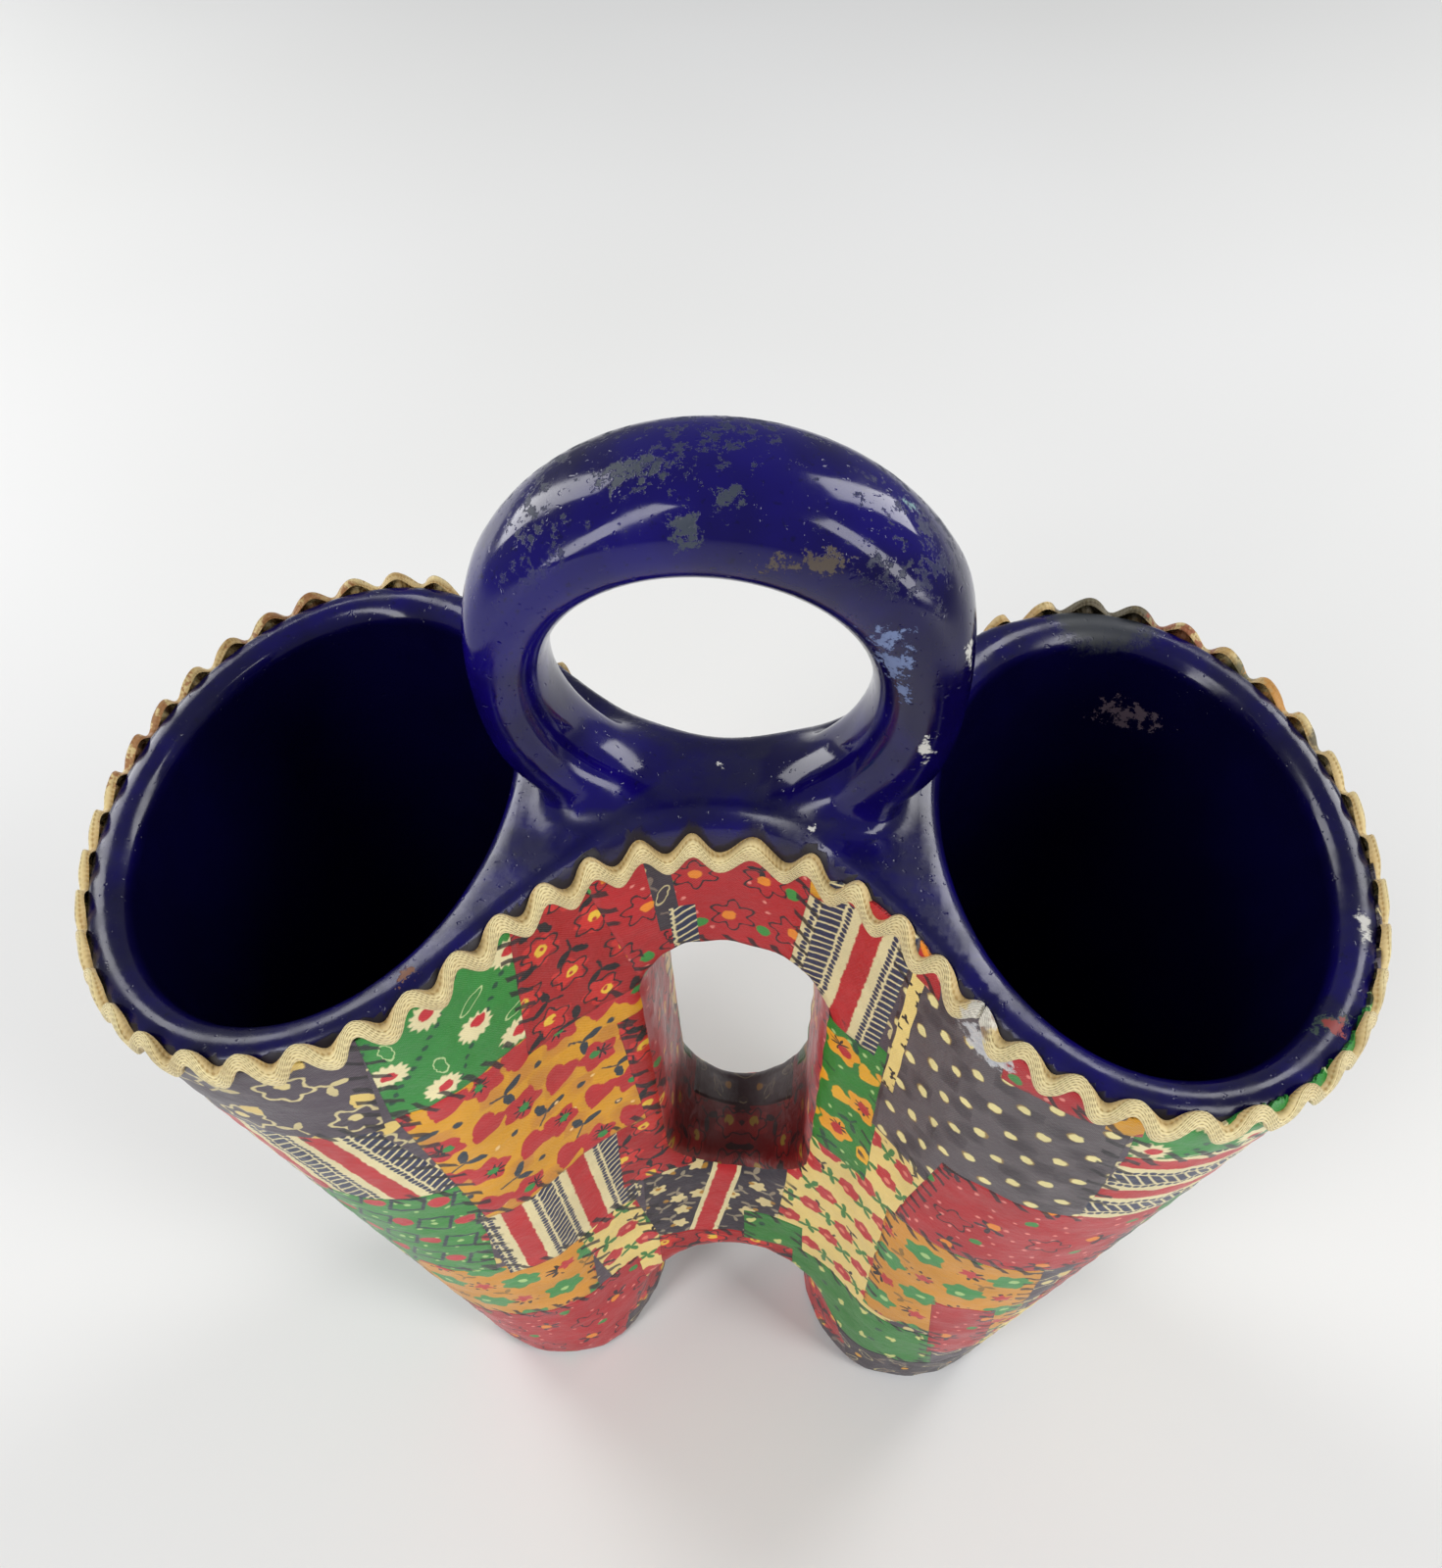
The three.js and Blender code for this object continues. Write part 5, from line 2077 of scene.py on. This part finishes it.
@dataclass
class Patchwork:
    """All the cloth: the front, the back, and the linings of the window and the arch.

    Sizes are in millimetres. The haze of paste and the painted shade on the linings each begin
    at a height, or a depth, and reach their full strength after a run.
    """

    form: BodyForm
    route: TrimRoute
    cloth_map: ClothMap
    hem: float = 1.5
    edge_drop: float = 2.2
    high_drop: float = 0.3
    high_spots: tuple[tuple[float, float], ...] = ((14.0, 31.0), (64.0, 94.0))
    lining_reach: float = 1.0
    web_half: float = 30.0
    arch_top: float = 45.0
    peeled_at: tuple[float, float, float] = (37.6, -34.5, 154.4)
    peeled_shape: tuple[float, float, float] = (1.15, 1.0, 0.75)
    peeled_reach: float = 8.0
    haze_rises: tuple[float, float] = (70.0, 20.0)
    # Painted shade on the linings: its strength, and where it falls off, rises and deepens.
    soot: float = 0.8
    shade_falls: tuple[float, float] = (88.0, -14.0)
    shade_rises: tuple[float, float] = (44.0, 10.0)
    shade_deepens: tuple[float, float] = (-24.0, 16.0)

    def _dressed(self, skin: Skin) -> Skin:
        """The part of the body's skin that lies under cloth.

        Args:
            skin: The body's skin.

        Returns:
            The part of it.
        """
        skin = skin.cut(self._below_edge(skin.points), snap=0.04)
        skin = skin.cut(skin.points[:, 2] - self.hem, snap=0.04)
        x, y, z = skin.centres().T
        outside = self.form.outside(x, y, z)
        below = self._below_edge(skin.centres())
        return skin.kept((below > 0) & (z > self.hem) & (outside > -1.2))

    def _below_edge(self, points: Array) -> Array:
        """How far points lie below the cloth's ragged upper edge.

        Args:
            points: One row for each point.

        Returns:
            The depths in millimetres.
        """
        x, y, z = points.T
        edge_drop = self.edge_drop + self.route.drop(x, y) + 0.25 * np.sin(0.8 * x) * np.sin(0.6 * y)
        for begin, end in self.high_spots:
            inside = ramp(x, begin, 3) * ramp(x, end, -3) * (y < 0)
            edge_drop = edge_drop - inside * (self.edge_drop - self.high_drop)
        return self.form.crest(x) - z - edge_drop

    def sheets(self, body: Skin) -> list[ClothSheet]:
        """Cuts the four sheets out of the body's skin.

        Args:
            body: The body's whole skin.

        Returns:
            The sheets, ready to build.
        """
        skin = self._dressed(Skin(body.points, body.normals, body.faces))
        bridge = self.form.bridge
        x, _, z = skin.points.T
        skin = skin.cut(bridge.window(x, z) - self.lining_reach, np.abs(x) < self.web_half)
        x, _, z = skin.points.T
        near = (np.abs(x) < self.web_half) & (z < self.arch_top)
        skin = skin.cut(bridge.arch(x, z) - self.lining_reach, near)
        skin = skin.cut(skin.points[:, 1], snap=0.04)
        x, y, z = skin.centres().T
        window = bridge.window(x, z) < self.lining_reach
        arch = ~window & (bridge.arch(x, z) < self.lining_reach) & (z < self.arch_top)
        outer = ~window & ~arch
        skin.values["z"] = skin.points[:, 2].copy()
        skin.values["s"] = self.cloth_map.breadth(skin.points)
        front = skin.kept(outer & (y < 0))
        back = skin.kept(outer & (y >= 0))
        back.values["s"] = -back.values["s"]
        window_skin = skin.kept(window)
        arch_skin = skin.kept(arch)
        for outer_skin in (front, back):
            outer_skin.values["haze"] = np.zeros(len(outer_skin.points))
            outer_skin.values["soot"] = np.zeros(len(outer_skin.points))
            away = np.linalg.norm((outer_skin.points - self.peeled_at) / self.peeled_shape, axis=1)
            outer_skin.values["peel"] = ramp(away, self.peeled_reach, -self.peeled_reach)
        for lining in (window_skin, arch_skin):
            x, y, z = lining.points.T
            aside = np.abs(x - bridge.window_x)
            upward = np.where((z > self.arch_top) & (z < bridge.split_z), -1.0, 1.0)
            lining.values["s"] = y.copy()
            lining.values["z"] = z + upward * (aside.max() - aside)
            lining.values["haze"] = np.maximum(ramp(z, *self.haze_rises), 0.15)
            # Painted shade, strongest over the lower bridge between the arch and the window, and deeper in
            # from the front.
            deep = ramp(z, *self.shade_falls) * ramp(z, *self.shade_rises)
            lining.values["soot"] = self.soot * deep * np.maximum(ramp(y, *self.shade_deepens), 0.12)
        vessels = ("left_vessel", "right_vessel", "upper_bridge", "lower_bridge")
        return [
            ClothSheet("front_patchwork", front, FRONT_PATCHES, (0.246, 0.158), 0.0303, vessels),
            ClothSheet("back_patchwork", back, BACK_PATCHES, (0.246, 0.158), 0.0299, vessels),
            ClothSheet("window_lining", window_skin, WINDOW_PATCHES, (0.19, 0.03), 0.0044, vessels[2:]),
            ClothSheet("arch_lining", arch_skin, ARCH_PATCHES, (0.09, 0.04), 0.0027, vessels[3:]),
        ]


@dataclass
class Rickrack:
    """The cream braid round the upper edge. Sizes are in millimetres.

    Attributes:
        drop: How far its middle lies below the upper edge.
        right_pitch: One wave's length along the edge on the right.
        left_pitch: One wave's length on the left, before it is fitted to the route.
        swing: How far its middle line swings up and down.
        width: The braid's width.
        thickness: Its thickness.
        begin: Where its first end lies, to the right of the front's middle.
        end_gap: The gap between its two ends.
        lag: How far the waves fall behind on the front's right.
        stained: How far from its ends it is stained.
        squareness: How full its cross section is.
        rim_height: How far its sides stand off the body.
        tuck: How deep its sides are turned into the body.
        step: The length of one piece of its mesh.
        across: How many points lie across it.
    """

    drop: float = 1.7
    right_pitch: float = 7.9
    left_pitch: float = 7.5
    lag: float = 2.0
    swing: float = 1.95
    width: float = 3.9
    thickness: float = 1.35
    begin: float = 45.6
    end_gap: float = 0.5
    stained: float = 7.0
    squareness: float = 5.0
    rim_height: float = 0.12
    tuck: float = 0.1
    step: float = 0.3
    across: int = 11

    def prepare(self, route: TrimRoute) -> None:
        """Fits whole waves to the route, a little wider on the right than on the left.

        Args:
            route: The way round the body.
        """
        self.half = route.length / 2
        self.right_waves = self.half / self.right_pitch
        self.waves = round(self.right_waves + self.half / self.left_pitch)

    def wave(self, run: Array) -> Array:
        """How many waves lie between the front's middle and some runs.

        Args:
            run: Lengths along the route.

        Returns:
            The numbers of waves.
        """
        run = np.mod(run, 2 * self.half)
        run = run - self.lag * ramp(run, 0, 9) * ramp(run, 66, -22)
        left = self.waves - (2 * self.half - run) * (self.waves - self.right_waves) / self.half
        return np.where(run < self.half, run * self.right_waves / self.half, left)

    def middle(self, run: Array) -> Array:
        """How far the braid's middle lies below the edge."""
        return self.drop + self.swing * np.cos(2 * math.pi * self.wave(run))

    def upper_edge(self, run: Array) -> Array:
        """How far the braid's upper side lies below the edge."""
        return self.middle(run) - self.width / 2

    def highest(self) -> float:
        """How far the crests' tops lie below the edge."""
        return self.drop - self.swing - self.width / 2

    def build(self, route: TrimRoute, finish: bpy.types.Material) -> bpy.types.Object:
        """Lays the braid on the body.

        Args:
            route: The way round the body.
            finish: The braid's finish.

        Returns:
            The braid's object.
        """
        start = self.begin
        end = start + route.length - self.end_gap
        runs = np.linspace(start, end, int((end - start) / self.step))
        middle = self.middle(runs)
        along = run_length(runs, middle)
        turn = np.linspace(-1, 1, self.across)
        offset = turn * self.width / 2
        run = np.repeat(runs[:, None], self.across, axis=1)
        drop = middle[:, None] + offset[None, :]
        points, normals = route.laid(run.ravel(), drop.ravel() + self._sunk(route, run.ravel()))
        profile = self.thickness * np.sqrt(1 - np.abs(turn) ** self.squareness) + self.rim_height
        height = np.tile(profile, len(runs))
        top = points + normals * height[:, None]
        foot = points - normals * self.tuck
        rows, breadth = len(runs), self.across
        number = np.arange(rows * breadth).reshape(rows, breadth)
        a, b = number[:-1, :-1].ravel(), number[1:, :-1].ravel()
        c, d = number[1:, 1:].ravel(), number[:-1, 1:].ravel()
        rim = np.concatenate([number[::-1, 0], number[0, 1:], number[1:, -1], number[-1, -2:0:-1]])
        below = rows * breadth + np.arange(len(rim))
        ahead = np.roll(rim, -1)
        last = np.roll(below, -1)
        sides = (columns(a, b, c), columns(a, c, d), columns(rim, ahead, last), columns(rim, last, below))
        values = {"across": np.tile(offset, rows), "along": np.repeat(along, breadth)}
        values = {name: np.concatenate([column, column[rim]]) for name, column in values.items()}
        ends = np.minimum(values["along"], along[-1] - values["along"])
        values["ends"] = ramp(ends, self.stained, -self.stained)
        points = np.concatenate([top, foot[rim]])
        skin = Skin(points, np.concatenate([normals, normals[rim]]), np.concatenate(sides), values)
        skin = self._outward(skin)
        piece = mesh_object("rickrack_trim", skin, [finish], smooth=False)
        pairs = np.stack([skin.values["along"][skin.faces], skin.values["across"][skin.faces]], axis=2)
        corner_map(piece.data, "braid", pairs * MILLIMETRE)
        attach(piece, "root")
        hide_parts("rickrack_braid")
        return piece

    def _sunk(self, route: TrimRoute, run: Array) -> Array:
        """How much lower the braid sits along the saddle."""
        place = route.at(run)
        return route.drop(place[:, 0], place[:, 1])

    def _outward(self, skin: Skin) -> Skin:
        """Turns the faces round where the top looks into the body.

        Args:
            skin: The braid's skin.

        Returns:
            The skin, turned outward.
        """
        a, b, c = (skin.points[skin.faces[:, k]] for k in range(3))
        facing = (np.cross(b - a, c - a) * skin.normals[skin.faces[:, 0]]).sum(axis=1)
        if np.median(facing) < 0:
            return Skin(skin.points, skin.normals, skin.faces[:, ::-1], skin.values)
        return skin


@dataclass(frozen=True)
class Softbox:
    """One soft lamp, by the way it lies from the vase.

    Attributes:
        name: The lamp's name.
        bearing: Its direction in degrees, from the front round to the right.
        height: Its height above the level in degrees.
        distance: Its distance in metres.
        size: Its width and length in metres.
        power: Its power in watts.
        aim: The place in metres that it shines on.
    """

    name: str
    bearing: float
    height: float
    distance: float
    size: tuple[float, float]
    power: float
    aim: tuple[float, float, float] = (0.0, 0.0, 0.12)

    def place(self) -> Vector:
        """Where the lamp hangs.

        Returns:
            Its place in metres.
        """
        bearing = math.radians(self.bearing)
        height = math.radians(self.height)
        level = math.cos(height)
        way = Vector((level * math.sin(bearing), -level * math.cos(bearing), math.sin(height)))
        return Vector(self.aim) + self.distance * way


@dataclass
class Studio:
    """The pale floor, the soft lamps and the camera."""

    floor_half: float = 2.5
    floor_colour: Colour = linear(226, 226, 224)
    floor_pale: Colour = linear(230, 230, 229)
    world_colour: Colour = linear(200, 202, 206)
    world_strength: float = 0.42
    camera_place: tuple[float, float, float] = (0.012698, -0.135987, 0.323538)
    camera_right: tuple[float, float, float] = (0.997086, 0.074256, -0.017475)
    camera_up: tuple[float, float, float] = (-0.045547, 0.763265, 0.644478)
    camera_forward: tuple[float, float, float] = (-0.061194, 0.641804, -0.764423)
    focal_pixels: float = 1550.0
    lamps: tuple[Softbox, ...] = (
        Softbox("front_left_lamp", -40, 31, 0.95, (0.2, 1.1), 5.5),
        Softbox("front_right_lamp", 63, 26, 0.95, (0.26, 0.9), 5.5),
        Softbox("back_left_lamp", -124, 24, 0.95, (0.34, 0.8), 4.7),
        Softbox("back_right_lamp", 132, 30, 0.95, (0.28, 0.6), 3.4),
    )

    def build(self) -> None:
        """Sets up the floor, the world, the lamps and the camera."""
        self._camera()
        self._floor()
        self._world()
        for lamp in self.lamps:
            self._lamp(lamp)
        bpy.context.scene.view_settings.view_transform = "Standard"

    def _camera(self) -> None:
        """Places the camera where the photograph was taken from."""
        data = bpy.data.cameras.new("camera")
        data.sensor_fit = "VERTICAL"
        data.sensor_height = 36.0
        data.lens = self.focal_pixels * data.sensor_height / PHOTO_HEIGHT
        data.clip_start = 0.01
        data.clip_end = 20.0
        camera = bpy.data.objects.new("camera", data)
        right = Vector(self.camera_right)
        up = Vector(self.camera_up)
        back = -Vector(self.camera_forward)
        matrix = Matrix((right, up, back)).transposed().to_4x4()
        matrix.translation = Vector(self.camera_place)
        camera.matrix_world = matrix
        bpy.context.scene.collection.objects.link(camera)
        bpy.context.scene.camera = camera

    def _floor(self) -> None:
        """Lays the pale floor, which isn't part of the vase."""
        board = NodeBoard("pale_floor")
        tone = board.place().noise(3.0, 2.0)
        board.set(Base_Color=tone.fade(0.3, 0.7).mix(self.floor_colour, self.floor_pale))
        board.set(Roughness=0.6)
        mesh = bpy.data.meshes.new("floor")
        half = self.floor_half
        corners = [(-half, -half, 0), (half, -half, 0), (half, half, 0), (-half, half, 0)]
        mesh.from_pydata(corners, [], [(0, 1, 2, 3)])
        mesh.materials.append(board.material)
        floor = bpy.data.objects.new("floor", mesh)
        bpy.context.scene.collection.objects.link(floor)

    def _world(self) -> None:
        """Lights the room evenly."""
        world = bpy.data.worlds.new("room")
        world.use_nodes = True
        background = world.node_tree.nodes["Background"]
        background.inputs["Color"].default_value = (*self.world_colour, 1.0)
        background.inputs["Strength"].default_value = self.world_strength
        bpy.context.scene.world = world

    def _lamp(self, lamp: Softbox) -> None:
        """Hangs one soft lamp.

        Args:
            lamp: The lamp.
        """
        data = bpy.data.lights.new(lamp.name, "AREA")
        data.shape = "RECTANGLE"
        data.size, data.size_y = lamp.size
        data.energy = lamp.power
        light = bpy.data.objects.new(lamp.name, data)
        light.location = lamp.place()
        direction = Vector(lamp.aim) - lamp.place()
        light.rotation_euler = direction.to_track_quat("-Z", "Y").to_euler()
        bpy.context.scene.collection.objects.link(light)


def main() -> None:
    """Builds the vase and its studio, and logs each piece."""
    logging.basicConfig(level=logging.INFO, format="%(name)s: %(message)s")
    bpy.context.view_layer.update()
    form = BodyForm()
    maker = SkinMaker(step=1.25)
    route = TrimRoute(form, maker)
    braid = Rickrack()
    braid.prepare(route)
    body = GlazedBody(form, maker, route, braid)
    skin = body.skin()
    log.info("body skin: %d points", len(skin.points))
    body.pieces(skin, CobaltGlaze().build())
    finishes = {kind: PrintedCotton(kind).build() for kind in Print}
    patchwork = Patchwork(form, route, ClothMap(form))
    for sheet in patchwork.sheets(skin):
        sheet.build(finishes)
    braid.build(route, RickrackFinish().build())
    Studio().build()


if __name__ == "__main__":
    main()
